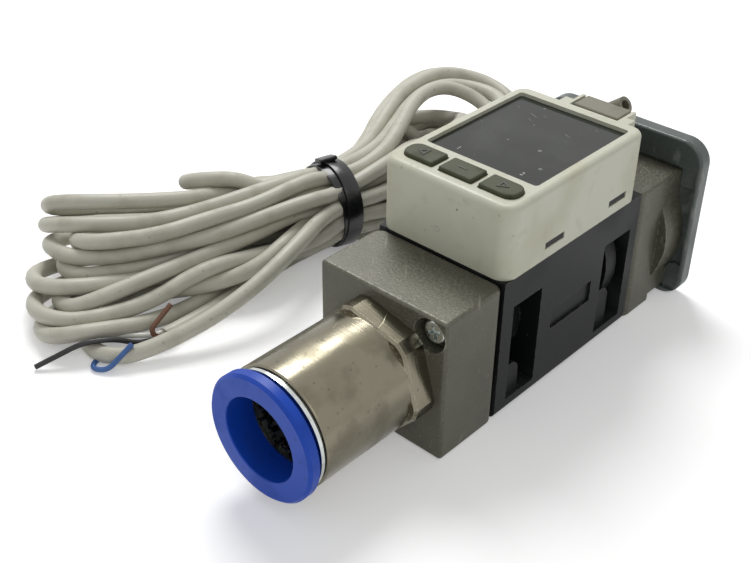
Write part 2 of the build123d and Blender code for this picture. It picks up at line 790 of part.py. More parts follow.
# Fitting body: turned barrel, hexagon with turned corners, and the plain stand-in of its thread
thread_end = inlet_front + thread_length
chuck_bore_end = barrel_front + chuck_bore_depth
seal_bore_end = chuck_bore_end + seal_bore_depth
tube_bore_end = seal_bore_end + tube_bore_depth
with BuildPart() as fitting_body:
    with BuildSketch(station(inlet_front)):
        with Locations((0, port_height)):
            RegularPolygon(hex_across_flats / 2, 6, major_radius=False, rotation=hex_turn)
            Circle(hex_turned_diameter / 2, mode=Mode.INTERSECT)
    extrude(amount=hex_depth)
    chamfer(fitting_body.faces().sort_by(Axis.Y)[0].edges(), hex_chamfer)
    with BuildSketch(station(hex_front)):
        with Locations((0, port_height)):
            Circle(barrel_diameter / 2)
    extrude(amount=barrel_length)
    fillet(fitting_body.faces().sort_by(Axis.Y)[0].edges(), barrel_edge)
    with BuildSketch(station(thread_end)):
        with Locations((0, port_height)):
            Circle(thread_diameter / 2)
    extrude(amount=thread_length)
    chamfer(fitting_body.faces().sort_by(Axis.Y)[-1].edges(), barrel_edge)
    for depth, bore in (
        (chuck_bore_end, chuck_bore_diameter),
        (seal_bore_end, seal_bore_diameter),
        (tube_bore_end, tube_diameter + 2 * tube_clearance),
        (thread_end, fitting_passage_diameter),
    ):
        with BuildSketch(station(depth)):
            with Locations((0, port_height)):
                Circle(bore / 2)
        extrude(amount=depth - barrel_front, mode=Mode.SUBTRACT)
finish(fitting_body.part, "fitting_body")

flow_axis = Axis((0, 0, port_height), (0, 1, 0))


# A turned ring about the flow axis, from its half section as (y, radius) points
def turned_ring(points):
    with BuildPart() as ring:
        with BuildSketch(Plane.YZ):
            with BuildLine():
                Polyline([(y, port_height + radius) for y, radius in points], close=True)
            make_face()
        revolve(axis=flow_axis)
    return ring.part


# Guide ring: bright flange in front of the barrel, sleeve in its bore, and the collar slides in it
collar_sleeve_radius = tube_diameter / 2 + tube_clearance + collar_wall
guide_inner = collar_sleeve_radius + running_clearance
guide_neck_front = guide_front + guide_flange_thickness
guide_end = barrel_front + guide_sleeve_length
finish(turned_ring([
    (guide_front, guide_inner),
    (guide_front, guide_flange_diameter / 2),
    (guide_neck_front, guide_flange_diameter / 2),
    (guide_neck_front, guide_neck_diameter / 2),
    (barrel_front, guide_neck_diameter / 2),
    (barrel_front, chuck_bore_diameter / 2 - seat_clearance),
    (guide_end, chuck_bore_diameter / 2 - seat_clearance),
    (guide_end, guide_inner),
]), "guide_ring")

# Release collar: its sleeve ends short of the chuck by its travel
collar_inner = tube_diameter / 2 + tube_clearance
sleeve_tip = guide_end - running_clearance
with BuildPart() as release_collar:
    with BuildSketch(station(sleeve_tip)):
        with Locations((0, port_height)):
            Circle(collar_sleeve_radius)
    extrude(amount=sleeve_tip - collar_back)
    with BuildSketch(station(collar_back)):
        with Locations((0, port_height)):
            Circle(collar_flange_diameter / 2)
    extrude(amount=collar_flange_thickness)
    chamfer(release_collar.faces().sort_by(Axis.Y)[0].edges(), collar_edge)
    with BuildSketch(station(sleeve_tip)):
        with Locations((0, port_height)):
            Circle(collar_inner)
    extrude(amount=sleeve_tip - collar_front, mode=Mode.SUBTRACT)
    fillet(release_collar.edges().filter_by(GeomType.CIRCLE).group_by(Axis.Y)[0].sort_by(SortBy.RADIUS)[0],
           collar_edge / 2)
finish(release_collar.part, "release_collar")

# Tube chuck: a springy ring whose slotted front lip grips the tube
chuck_front = guide_end + collar_travel + collar_stop_gap
chuck_outer = chuck_bore_diameter / 2 - seat_clearance
with BuildPart() as tube_chuck:
    add(turned_ring([
        (chuck_front, collar_inner),
        (chuck_front, chuck_outer),
        (chuck_bore_end, chuck_outer),
        (chuck_bore_end, chuck_outer - chuck_wall),
        (chuck_front + chuck_lip, chuck_outer - chuck_wall),
        (chuck_front + chuck_lip, collar_inner),
    ]))
    with BuildSketch(station(chuck_front)):
        with Locations((0, port_height)):
            with PolarLocations(0, chuck_slots):
                Rectangle(chuck_outer - chuck_wall, chuck_slot_width, align=(Align.MIN, Align.CENTER))
    extrude(amount=chuck_front - chuck_bore_end, mode=Mode.SUBTRACT)
finish(tube_chuck.part, "tube_chuck")

# Tube seal: rubber ring with a lip that narrows towards the tube stop
seal_outer = seal_bore_diameter / 2 - seat_clearance
finish(turned_ring([
    (chuck_bore_end, collar_inner + running_clearance),
    (chuck_bore_end, seal_outer),
    (seal_bore_end, seal_outer),
    (seal_bore_end, collar_inner + collar_wall / 2),
    (seal_bore_end - seal_bore_depth / 3, collar_inner - tube_clearance),
]), "tube_seal")

# Adapter plate: flat casting whose front pocket takes the round boss of the outlet block
plate_middle = plate_height / 2
pocket_width = plate_width - 2 * plate_wall
lug_offset = plate_width / 2 + plate_lug_overlap - plate_lug_radius
with BuildPart() as adapter_plate:
    with BuildSketch(station(plate_back)):
        with Locations((0, plate_middle)):
            RectangleRounded(plate_width, plate_height, plate_corner)
    extrude(amount=plate_thickness)
    fillet(adapter_plate.faces().sort_by(Axis.Y)[0].edges(), plate_edge)
    fillet(adapter_plate.faces().sort_by(Axis.Y)[-1].edges(), plate_edge / 2)
    with BuildSketch(station(plate_front)):
        with Locations((0, pocket_bottom)):
            Rectangle(pocket_width, pocket_top - pocket_bottom, align=(Align.CENTER, Align.MIN))
    extrude(amount=-pocket_step_depth, mode=Mode.SUBTRACT)
    with BuildSketch(station(plate_front)):
        with Locations((0, port_height)):
            Circle(outlet_boss_diameter / 2 + neck_clearance)
        with Locations((0, block_height + neck_clearance)):
            Rectangle(pocket_width, block_height, align=(Align.CENTER, Align.MAX), mode=Mode.INTERSECT)
            Rectangle(block_width + 2 * neck_clearance, block_height / 2, align=(Align.CENTER, Align.MAX))
        with Locations((0, pocket_bottom)):
            Rectangle(pocket_width, pocket_step_top - pocket_bottom, align=(Align.CENTER, Align.MIN))
        with Locations((-lug_offset, plate_lug_centre), (lug_offset, plate_lug_centre)):
            Circle(plate_lug_radius, mode=Mode.SUBTRACT)
            Rectangle(2 * plate_lug_radius, plate_lug_centre, align=(Align.CENTER, Align.MAX),
                      mode=Mode.SUBTRACT)
    extrude(amount=-pocket_depth, mode=Mode.SUBTRACT)
    with BuildSketch(station(plate_back)):
        with Locations((0, port_height)):
            Circle(passage_diameter / 2)
    extrude(amount=plate_thickness, mode=Mode.SUBTRACT)
    with BuildSketch(station(plate_back)):
        with Locations((0, port_height)):
            Circle((adapter_seal_diameter + adapter_seal_section) / 2 + seal_side_clearance)
            Circle((adapter_seal_diameter - adapter_seal_section) / 2 - seal_side_clearance,
                   mode=Mode.SUBTRACT)
    extrude(amount=adapter_seal_section, mode=Mode.SUBTRACT)
    with BuildSketch(station(plate_back)):
        with Locations(corner_points(outlet_screw_offset, other_diagonal)):
            Circle(screw_diameter / 2 + screw_clearance)
    extrude(amount=plate_thickness, mode=Mode.SUBTRACT)
    for x, z in corner_points(outlet_screw_offset, other_diagonal):
        with BuildSketch(station(plate_back)):
            with Locations((x, z)):
                Circle(adapter_head_diameter / 2 + thread_clearance)
        with BuildSketch(station(plate_back - adapter_head_height)):
            with Locations((x, z)):
                Circle(screw_diameter / 2 + screw_clearance)
        loft(mode=Mode.SUBTRACT)
finish(adapter_plate.part, "adapter_plate")

# Countersunk screws that hold the adapter plate to the outlet block
with BuildPart() as adapter_screws:
    with BuildSketch(station(plate_back)):
        with Locations(corner_points(outlet_screw_offset, other_diagonal)):
            Circle(screw_diameter / 2)
    extrude(amount=adapter_screw_length)
    for x, z in corner_points(outlet_screw_offset, other_diagonal):
        with BuildSketch(station(plate_back)):
            with Locations((x, z)):
                Circle(adapter_head_diameter / 2)
        with BuildSketch(station(plate_back - adapter_head_height)):
            with Locations((x, z)):
                Circle(screw_diameter / 2)
        loft()
    with BuildSketch(station(plate_back)):
        with Locations(corner_points(outlet_screw_offset, other_diagonal)):
            Rectangle(cross_span, cross_width, rotation=cross_turn)
            Rectangle(cross_width, cross_span, rotation=cross_turn)
    extrude(amount=cross_depth, mode=Mode.SUBTRACT)
finish(adapter_screws.part, "adapter_screws")

# Lead: from the plug over the outlet block to the hank, and from under the hank to the cut end
cable_route = [
    sleeve_start,
    sleeve_start - sleeve_way * lead_straight,
    (-19.5, 43.6, 31.4),
    (-30.5, 48.5, 23.0),
    (-39.5, 56.0, 14.0),
]
tail_route = [(-53.5, 5.0, 1.8), (-46.5, -8.0, 1.8), (-45.0, -21.0, 1.8), (-49.2, -36.1, 1.8)]
core_ends = {
    "core_white": (-1, 1, [(-56.7, -45.1, 2.7)]),
    "core_brown": (1, 1, [(-50.0, -38.9, 4.4), (-49.9, -33.3, 8.0)]),
    "core_black": (-1, -1, [(-51.6, -41.4, 1.6), (-53.4, -46.0, 4.2), (-56.1, -51.1, 4.6),
                            (-60.8, -59.7, 0.8)]),
    "core_blue": (1, -1, [(-49.8, -41.5, 0.7), (-52.2, -45.5, 0.6), (-54.3, -49.6, 0.6), (-52.6, -52.2, 0.6),
                          (-49.5, -50.5, 0.8), (-48.2, -44.9, 5.0)]),
}


# A round tube along straight runs, with arcs as large as the runs beside each corner allow
def round_tube(route, diameter):
    places = [Vector(place) for place in route]
    radii = []
    for before, corner, after in zip(places, places[1:], places[2:]):
        run_in = corner - before
        run_out = after - corner
        half_turn = radians(run_in.get_angle(run_out)) / 2
        radii.append(bend_share * min(run_in.length, run_out.length) / tan(half_turn))
    with BuildPart() as tube:
        with BuildLine() as path:
            FilletPolyline(*places, radius=radii)
        with BuildSketch(Plane(origin=places[0], z_dir=places[1] - places[0])):
            Circle(diameter / 2)
        sweep()
    share = tube.part.volume / (path.wire().length * pi * diameter ** 2 / 4)
    print("bend radii", [round(radius, 1) for radius in radii], f"volume against section {share:.3f}")
    return tube.part


finish(round_tube(cable_route, lead_diameter), "lead_cable")
finish(round_tube(tail_route, lead_diameter), "lead_tail")

# The four cores leave the tail's cut face square to it, two by two, and then go their own ways
tail_end = Vector(tail_route[-1])
tail_way = (tail_end - Vector(tail_route[-2])).normalized()
tail_side = Vector(0, 0, 1).cross(tail_way)
for name, (side, rise, points) in core_ends.items():
    core_start = tail_end + (tail_side * side + Vector(0, 0, rise)) * core_spread
    finish(round_tube([core_start, core_start + tail_way * core_lead_out] + points, core_diameter), name)

# Hank: the wound turns as one solid, lofted from the neck to the spread loops on each side.
# A station is its centre in plan, its heading, its width and height, and how far its outer side leans up.
neck_rise = neck_radius + tie_clearance + tie_thickness
left_stations = [
    (-60.0, 0.0, 64.8, 27.0, 17.0, 5.0),
    (-68.2, -16.1, 64.8, 41.0, 13.5, 12.0),
    (-74.5, -30.8, 64.8, 42.0, 11.0, 16.0),
    (-78.6, -44.3, 64.8, 32.0, 8.0, 19.0),
    (-80.8, -49.0, 64.8, 14.0, 4.0, 20.0),
]
right_stations = [
    (-53.3, 34.4, 86.4, 28.0, 18.0, 0.0),
    (-54.1, 52.5, 86.4, 35.0, 18.0, 0.0),
    (-54.0, 70.5, 86.4, 34.0, 16.0, 0.0),
    (-53.4, 81.0, 86.4, 26.0, 11.0, 0.0),
    (-53.0, 87.0, 86.4, 12.0, 5.0, 0.0),
]


# A plane across the hank: local x points to its outer side, away from the switch, and local y up
def cross_plane(x, y, z, heading):
    way = Vector(cos(radians(heading)), sin(radians(heading)), 0)
    return Plane(origin=(x, y, z), x_dir=Vector(0, 0, 1).cross(way), z_dir=way)


neck_plane = cross_plane(neck_centre[0], neck_centre[1], neck_rise, neck_heading)
with BuildPart() as lead_hank:
    with BuildSketch(neck_plane.offset(-neck_length / 2)):
        Circle(neck_radius)
    extrude(amount=neck_length)
    for side, stations in ((-1, left_stations), (1, right_stations)):
        with BuildSketch(neck_plane.offset(side * neck_length / 2)):
            Circle(neck_radius)
        for x, y, heading, width, height, lean in stations:
            rise = hypot(width / 2 * sin(radians(lean)), height / 2 * cos(radians(lean)))
            with BuildSketch(cross_plane(x, y, rise, heading)):
                Ellipse(width / 2, height / 2, rotation=lean)
        loft()
    for route in (cable_route, tail_route):
        add(round_tube(route, lead_diameter + 2 * lead_pocket_clearance), mode=Mode.SUBTRACT)
finish(lead_hank.part, "lead_hank")

with BuildPart() as hank_tie:
    with BuildSketch(neck_plane.offset(-tie_width / 2)):
        Circle(neck_radius + tie_clearance + tie_thickness)
        Circle(neck_radius + tie_clearance, mode=Mode.SUBTRACT)
    extrude(amount=tie_width)
finish(hank_tie.part, "hank_tie")
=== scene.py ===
import bpy
from math import cos, pi, radians, sin
import numpy as np
from mathutils import Matrix, Vector


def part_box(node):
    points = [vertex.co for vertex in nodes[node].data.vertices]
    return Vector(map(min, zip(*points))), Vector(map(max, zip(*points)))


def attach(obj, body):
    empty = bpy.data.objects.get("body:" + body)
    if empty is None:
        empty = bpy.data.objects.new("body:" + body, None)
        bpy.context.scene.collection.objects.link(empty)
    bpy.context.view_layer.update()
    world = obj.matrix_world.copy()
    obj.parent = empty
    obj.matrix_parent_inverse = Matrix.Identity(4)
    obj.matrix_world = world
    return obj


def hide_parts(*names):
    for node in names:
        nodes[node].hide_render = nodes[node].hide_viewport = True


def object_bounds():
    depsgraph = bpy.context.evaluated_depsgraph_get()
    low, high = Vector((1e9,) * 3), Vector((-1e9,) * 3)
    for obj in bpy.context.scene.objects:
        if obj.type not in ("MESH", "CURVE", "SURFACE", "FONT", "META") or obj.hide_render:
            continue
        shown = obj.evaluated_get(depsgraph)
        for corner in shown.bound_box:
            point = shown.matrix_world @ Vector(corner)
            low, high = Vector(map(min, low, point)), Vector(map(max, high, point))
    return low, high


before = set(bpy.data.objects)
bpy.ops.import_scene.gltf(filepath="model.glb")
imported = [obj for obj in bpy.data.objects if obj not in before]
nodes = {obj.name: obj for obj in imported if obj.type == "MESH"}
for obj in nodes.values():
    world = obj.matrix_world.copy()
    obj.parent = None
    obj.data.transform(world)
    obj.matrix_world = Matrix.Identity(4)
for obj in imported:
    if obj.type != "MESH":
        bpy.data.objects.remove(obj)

# Digital flow switch. Metres, in the frame's own places: X across the flow, Y along it, floor at Z = 0.
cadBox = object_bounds()
bpy.ops.object.select_all(action="DESELECT")
bpy.context.scene.view_settings.view_transform = "Standard"

viewSettings = {
    "place": (0.1130, -0.1520, 0.1465),
    "azimuth": 41.984,
    "elevation": 33.817,
    "roll": 0.929,
    "lens": 56.49,
    "sensor": 36.0,
    "nearest": 0.01,
}


def addCamera():
    view = viewSettings
    bpy.ops.object.camera_add()
    camera = bpy.context.object
    camera.name = "photoCamera"
    camera.data.lens = view["lens"]
    camera.data.sensor_width = view["sensor"]
    camera.data.clip_start = view["nearest"]
    turn = Matrix.Rotation(radians(view["azimuth"]), 4, "Z")
    tip = Matrix.Rotation(radians(90 - view["elevation"]), 4, "X")
    lean = Matrix.Rotation(radians(view["roll"]), 4, "Z")
    camera.matrix_world = Matrix.Translation(view["place"]) @ turn @ tip @ lean
    bpy.context.scene.camera = camera


# Helpers for shaders

def feed(tree, socket, value):
    # A socket takes a fixed value, or what another node puts out
    if isinstance(value, bpy.types.NodeSocket):
        tree.links.new(value, socket)
    else:
        socket.default_value = value


def addNode(tree, kind, inputs, **settings):
    node = tree.nodes.new("ShaderNode" + kind)
    for name, value in settings.items():
        setattr(node, name, value)
    for socket, value in inputs.items():
        feed(tree, node.inputs[socket], value)
    return node


def newMaterial(name, metallic=0.0, shine=0.5):
    material = bpy.data.materials.new(name)
    material.use_nodes = True
    tree = material.node_tree
    shader = tree.nodes["Principled BSDF"]
    shader.inputs["Metallic"].default_value = metallic
    shader.inputs["Specular IOR Level"].default_value = shine
    return material, tree, shader


def seen(red, green, blue):
    # A colour as the eye reads it, 0 to 255, into the light values a shader takes, by the sRGB curve
    def part(value):
        value = value / 255
        return value / 12.92 if value <= 0.04045 else ((value + 0.055) / 1.055) ** 2.4
    return (part(red), part(green), part(blue), 1)


studio = {
    "floorSize": 3.0,
    "floorColour": (0.95, 0.95, 0.95, 1),
    "floorRoughness": 0.9,
    "floorLift": 0.26,
    "worldColour": (1.0, 1.0, 1.0, 1),
    "worldStrength": 0.36,
    "backdropColour": (1.0, 1.0, 1.0, 1),
    # place, size, power in watts
    "lamps": (
        ((-0.35, 0.25, 0.60), 0.35, 3.3),
        ((0.50, -0.20, 0.55), 0.50, 0.7),
        ((-0.30, -0.60, 0.35), 0.50, 0.3),
    ),
}


def backgroundRays(tree):
    # 1 for the rays that see the background as it is drawn: camera, glossy and transmitted ones
    path = addNode(tree, "LightPath", {}).outputs
    drawn = path["Is Camera Ray"]
    for name in ("Is Glossy Ray", "Is Transmission Ray"):
        drawn = addNode(tree, "Math", {0: drawn, 1: path[name]}, operation="MAXIMUM").outputs[0]
    return drawn


def addWorld():
    world = bpy.data.worlds.new("paleRoom")
    bpy.context.scene.world = world
    world.use_nodes = True
    tree = world.node_tree
    lit = tree.nodes["Background"]
    lit.inputs["Color"].default_value = studio["worldColour"]
    lit.inputs["Strength"].default_value = studio["worldStrength"]
    drawn = addNode(tree, "Background", {"Color": studio["backdropColour"]})
    choose = addNode(tree, "MixShader", {0: backgroundRays(tree), 1: lit.outputs[0], 2: drawn.outputs[0]})
    feed(tree, tree.nodes["World Output"].inputs["Surface"], choose.outputs[0])


def addFloor():
    bpy.ops.mesh.primitive_plane_add(size=studio["floorSize"])
    floor = bpy.context.object
    floor.name = "studioFloor"
    paper, tree, shader = newMaterial("palePaper")
    shader.inputs["Base Color"].default_value = studio["floorColour"]
    shader.inputs["Roughness"].default_value = studio["floorRoughness"]
    # The paper is drawn a little lighter than it is lit, and keeps its shadows
    lift = addNode(tree, "Math", {0: backgroundRays(tree), 1: studio["floorLift"]}, operation="MULTIPLY")
    glow = addNode(tree, "Emission", {"Strength": lift.outputs[0]})
    both = addNode(tree, "AddShader", {0: shader.outputs[0], 1: glow.outputs[0]})
    feed(tree, tree.nodes["Material Output"].inputs["Surface"], both.outputs[0])
    floor.data.materials.append(paper)


def addLamps():
    for place, size, power in studio["lamps"]:
        bpy.ops.object.light_add(type="AREA", location=place)
        lamp = bpy.context.object
        lamp.data.shape = "DISK"
        lamp.data.size = size
        lamp.data.energy = power
        lamp.rotation_mode = "QUATERNION"
        lamp.rotation_quaternion = Vector(place).to_track_quat("Z", "Y")


addCamera()
addWorld()
addFloor()
addLamps()
print("camera, floor and lamps are set")


# Effects that more than one finish uses, each a node group built once
patterns = {
    "bevelSamples": 6,
    # how far a rounded normal turns away where an edge begins to show, and where it shows fully
    "edgeTurn": (0.02, 0.22),
    "edgeDetail": 4,
    # how many times finer the scuffs' noise is along X, Y and Z, so that they run along X
    "scuffStretch": (1, 14, 3),
    "scuffDetail": 2,
    "ringDetail": 3,
}


def newGroup(name, inputs, outputs):
    group = bpy.data.node_groups.new(name, "ShaderNodeTree")
    for title, value in inputs.items():
        socket = group.interface.new_socket(title, in_out="INPUT", socket_type="NodeSocketFloat")
        socket.default_value = value
    for title in outputs:
        group.interface.new_socket(title, in_out="OUTPUT", socket_type="NodeSocketFloat")
    enter = group.nodes.new("NodeGroupInput")
    leave = group.nodes.new("NodeGroupOutput")
    return group, enter.outputs, leave.inputs


def rangeMask(tree, value, low, high):
    # 0 below low and 1 above high, with soft ends
    limits = {"Value": value, "From Min": low, "From Max": high}
    return addNode(tree, "MapRange", limits, interpolation_type="SMOOTHSTEP").outputs["Result"]


def joinMasks(tree, operation, first, second):
    return addNode(tree, "Math", {0: first, 1: second}, operation=operation, use_clamp=True).outputs[0]


def objectPlace(tree):
    return addNode(tree, "TexCoord", {}).outputs["Object"]


def makeCloudy():
    # Grain, patches and dust: the same noise at any size
    group, given, out = newGroup("cloudy", {"Scale": 100, "Detail": 3, "Low": 0.4, "High": 0.6},
                                 ("Height", "Mask"))
    noise = addNode(group, "TexNoise", {"Vector": objectPlace(group), "Scale": given["Scale"],
                                        "Detail": given["Detail"]}).outputs[0]
    feed(group, out["Height"], noise)
    feed(group, out["Mask"], rangeMask(group, noise, given["Low"], given["High"]))
    return group


def makeSpecks():
    # Small chips and grains of dirt, in only a share of the cells
    group, given, out = newGroup("specks", {"Scale": 300, "Size": 0.2, "Share": 0.3}, ("Mask",))
    cells = addNode(group, "TexVoronoi", {"Vector": objectPlace(group), "Scale": given["Scale"]}).outputs
    chance = addNode(group, "SeparateColor", {0: cells["Color"]}).outputs
    size = joinMasks(group, "MULTIPLY", chance[1], given["Size"])
    near = joinMasks(group, "LESS_THAN", cells["Distance"], size)
    kept = joinMasks(group, "LESS_THAN", chance[0], given["Share"])
    feed(group, out["Mask"], joinMasks(group, "MULTIPLY", near, kept))
    return group


def makeEdgeBands():
    # Bands along the edges, where a rounded normal leaves the true one, broken up by noise: wear and dirt
    # on most finishes, and on the casting and the nickel partly painted highlight
    group, given, out = newGroup("edgeBands", {"Width": 0.0004, "Scale": 900, "Low": 0.4, "High": 0.6},
                                 ("Mask",))
    rounded = addNode(group, "Bevel", {"Radius": given["Width"]}, samples=patterns["bevelSamples"])
    true = addNode(group, "NewGeometry", {})
    alike = addNode(group, "VectorMath", {0: rounded.outputs["Normal"], 1: true.outputs["Normal"]},
                    operation="DOT_PRODUCT").outputs["Value"]
    edge = rangeMask(group, joinMasks(group, "SUBTRACT", 1.0, alike), *patterns["edgeTurn"])
    noise = addNode(group, "TexNoise", {"Vector": objectPlace(group), "Scale": given["Scale"],
                                        "Detail": patterns["edgeDetail"]}).outputs[0]
    broken = rangeMask(group, noise, given["Low"], given["High"])
    feed(group, out["Mask"], joinMasks(group, "MULTIPLY", edge, broken))
    return group


def makeScuffs():
    # Long thin marks that run one way
    group, given, out = newGroup("scuffs", {"Scale": 60, "Turn": 0.6, "Low": 0.6, "High": 0.7}, ("Mask",))
    turned = addNode(group, "VectorRotate", {"Vector": objectPlace(group), "Angle": given["Turn"]},
                     rotation_type="Z_AXIS").outputs[0]
    thin = addNode(group, "VectorMath", {0: turned, 1: patterns["scuffStretch"]},
                   operation="MULTIPLY").outputs[0]
    noise = addNode(group, "TexNoise", {"Vector": thin, "Scale": given["Scale"],
                                        "Detail": patterns["scuffDetail"]}).outputs[0]
    feed(group, out["Mask"], rangeMask(group, noise, given["Low"], given["High"]))
    return group


def makeTurnedLines():
    # Fine rings left by the lathe, about the flow's own axis
    group, given, out = newGroup("turnedLines", {"Scale": 3000}, ("Height",))
    along = addNode(group, "SeparateXYZ", {0: objectPlace(group)}).outputs["Y"]
    noise = addNode(group, "TexNoise", {"W": along, "Scale": given["Scale"],
                                        "Detail": patterns["ringDetail"]}, noise_dimensions="1D")
    feed(group, out["Height"], noise.outputs[0])
    return group


effects = {
    "cloudy": makeCloudy(),
    "specks": makeSpecks(),
    "edgeBands": makeEdgeBands(),
    "scuffs": makeScuffs(),
    "turnedLines": makeTurnedLines(),
}


def effect(tree, name, **values):
    # An effect placed in a finish with that finish's own values
    node = tree.nodes.new("ShaderNodeGroup")
    node.node_tree = effects[name]
    for title, value in values.items():
        node.inputs[title].default_value = value
    return node.outputs


def paint(tree, shader, colour, *layers):
    # Colours laid over each other: (where, colour, how strongly)
    for mask, over, share in layers:
        strength = joinMasks(tree, "MULTIPLY", mask, share)
        colour = addNode(tree, "Mix", {0: strength, 6: colour, 7: over}, data_type="RGBA").outputs[2]
    feed(tree, shader.inputs["Base Color"], colour)


def spread(tree, mask, low, high):
    # A value that goes from low to high with the mask
    return addNode(tree, "MapRange", {"Value": mask, "To Min": low, "To Max": high}).outputs["Result"]


def polish(tree, shader, mask, low, high):
    feed(tree, shader.inputs["Roughness"], spread(tree, mask, low, high))


def roughen(tree, shader, *layers):
    # Bumps laid on each other: (height, depth in metres)
    below = {}
    for height, depth in layers:
        bump = addNode(tree, "Bump", {"Height": height, "Distance": depth, **below})
        below = {"Normal": bump.outputs["Normal"]}
    feed(tree, shader.inputs["Normal"], below["Normal"])


# Finishes. "roughness" is where a finish is clean and where it is patchy, and depths are metres.
ivory = {
    "base": seen(200, 201, 183),
    "aged": seen(190, 189, 166),
    "grime": seen(150, 146, 126),
    "chip": seen(96, 90, 76),
    "roughness": (0.38, 0.52),
    "grainDepth": 0.000018,
    "chipDepth": -0.00006,
    # the round mark of an ejector pin on the front: its middle, its radius and its ring, in shares of that
    "pinMark": (-0.0011, -0.0087, 0.0359),
    "pinRadius": 0.0006,
    "pinInner": (0.6, 0.8),
    "pinOuter": (1.0, 1.2),
    "pinDepth": 0.00012,
}


def pinRing(tree):
    far = addNode(tree, "VectorMath", {0: objectPlace(tree), 1: ivory["pinMark"]}, operation="DISTANCE")
    radius = ivory["pinRadius"]
    sides = []
    for start, end in (ivory["pinInner"], ivory["pinOuter"]):
        sides.append(rangeMask(tree, far.outputs["Value"], radius * start, radius * end))
    return joinMasks(tree, "SUBTRACT", *sides)


def makeIvory():
    material, tree, shader = newMaterial("ivoryMoulding")
    patches = effect(tree, "cloudy", Scale=70, Detail=3, Low=0.42, High=0.68)
    smear = effect(tree, "cloudy", Scale=260, Detail=5, Low=0.56, High=0.74)
    grain = effect(tree, "cloudy", Scale=2600, Detail=2, Low=0.4, High=0.6)
    alongEdges = effect(tree, "edgeBands", Width=0.0007, Scale=650, Low=0.5, High=0.6)
    chips = effect(tree, "specks", Scale=620, Size=0.26, Share=0.025)
    dust = effect(tree, "specks", Scale=1300, Size=0.4, Share=0.025)
    paint(tree, shader, ivory["base"],
          (patches["Mask"], ivory["aged"], 0.7),
          (smear["Mask"], ivory["grime"], 0.22),
          (alongEdges["Mask"], ivory["grime"], 0.55),
          (dust["Mask"], ivory["grime"], 0.5),
          (chips["Mask"], ivory["chip"], 0.7))
    polish(tree, shader, patches["Mask"], *ivory["roughness"])
    roughen(tree, shader,
            (grain["Height"], ivory["grainDepth"]),
            (chips["Mask"], ivory["chipDepth"]),
            (pinRing(tree), ivory["pinDepth"]))
    return material


cast = {
    "base": seen(88, 87, 75),
    "light": seen(116, 114, 100),
    "dark": seen(68, 67, 57),
    # bare metal in scratches; along the edges partly worn bare and partly a painted highlight
    "bareAndHighlight": seen(186, 182, 168),
    "metallic": 0.35,
    "roughness": (0.38, 0.58),
    "grainDepth": 0.00005,
}


def makeCast():
    material, tree, shader = newMaterial("sparkleCasting", cast["metallic"])
    grain = effect(tree, "cloudy", Scale=2100, Detail=3, Low=0.46, High=0.64)
    flakes = effect(tree, "specks", Scale=2300, Size=0.55, Share=0.22)
    patches = effect(tree, "cloudy", Scale=120, Detail=4, Low=0.40, High=0.66)
    alongEdges = effect(tree, "edgeBands", Width=0.00055, Scale=1500, Low=0.42, High=0.6)
    scratch = effect(tree, "scuffs", Scale=70, Turn=0.9, Low=0.70, High=0.76)
    # The light colour along the edges is partly rubbed bare metal and partly painted highlight, where the
    # edges catch the light
    paint(tree, shader, cast["base"],
          (patches["Mask"], cast["dark"], 0.35),
          (grain["Mask"], cast["light"], 0.4),
          (flakes["Mask"], cast["light"], 0.55),
          (scratch["Mask"], cast["bareAndHighlight"], 0.2),
          (alongEdges["Mask"], cast["bareAndHighlight"], 0.6))
    polish(tree, shader, grain["Mask"], *cast["roughness"])
    roughen(tree, shader, (grain["Height"], cast["grainDepth"]))
    return material


nickel = {
    "base": seen(128, 123, 107),
    "dull": seen(98, 93, 78),
    # along the edges partly wear and partly a painted highlight
    "bright": seen(214, 208, 194),
    "metallic": 1.0,
    "roughness": (0.20, 0.36),
    "scratchRoughness": 0.2,
    "ringDepth": 0.000012,
    "pitDepth": -0.00007,
    "scratchDepth": -0.00002,
}


def makeNickel():
    material, tree, shader = newMaterial("turnedNickel", nickel["metallic"])
    rings = effect(tree, "turnedLines", Scale=2600)
    patches = effect(tree, "cloudy", Scale=150, Detail=5, Low=0.44, High=0.68)
    pits = effect(tree, "specks", Scale=1500, Size=0.45, Share=0.06)
    alongEdges = effect(tree, "edgeBands", Width=0.0005, Scale=1500, Low=0.40, High=0.58)
    scratch = effect(tree, "scuffs", Scale=90, Turn=1.2, Low=0.66, High=0.74)
    # The bright colour along the edges is partly wear and partly painted highlight, where the edges catch
    # the light
    paint(tree, shader, nickel["base"],
          (patches["Mask"], nickel["dull"], 0.55),
          (pits["Mask"], nickel["dull"], 0.6),
          (alongEdges["Mask"], nickel["bright"], 0.7))
    turned = spread(tree, patches["Mask"], *nickel["roughness"])
    scratched = spread(tree, scratch["Mask"], 0, nickel["scratchRoughness"])
    feed(tree, shader.inputs["Roughness"], joinMasks(tree, "ADD", turned, scratched))
    roughen(tree, shader,
            (rings["Height"], nickel["ringDepth"]),
            (pits["Mask"], nickel["pitDepth"]),
            (scratch["Mask"], nickel["scratchDepth"]))
    return material


# Small bright metal pieces share one finish, each with its own roughness
bright = {
    "base": seen(205, 210, 208),
    "dull": seen(150, 152, 148),
    "metallic": 1.0,
    "cleanShare": 0.8,
    "dullShare": 1.5,
    "ringDepth": 0.000006,
    "roughness": {"brightRing": 0.2, "platedScrew": 0.3, "contactBrass": 0.3},
}


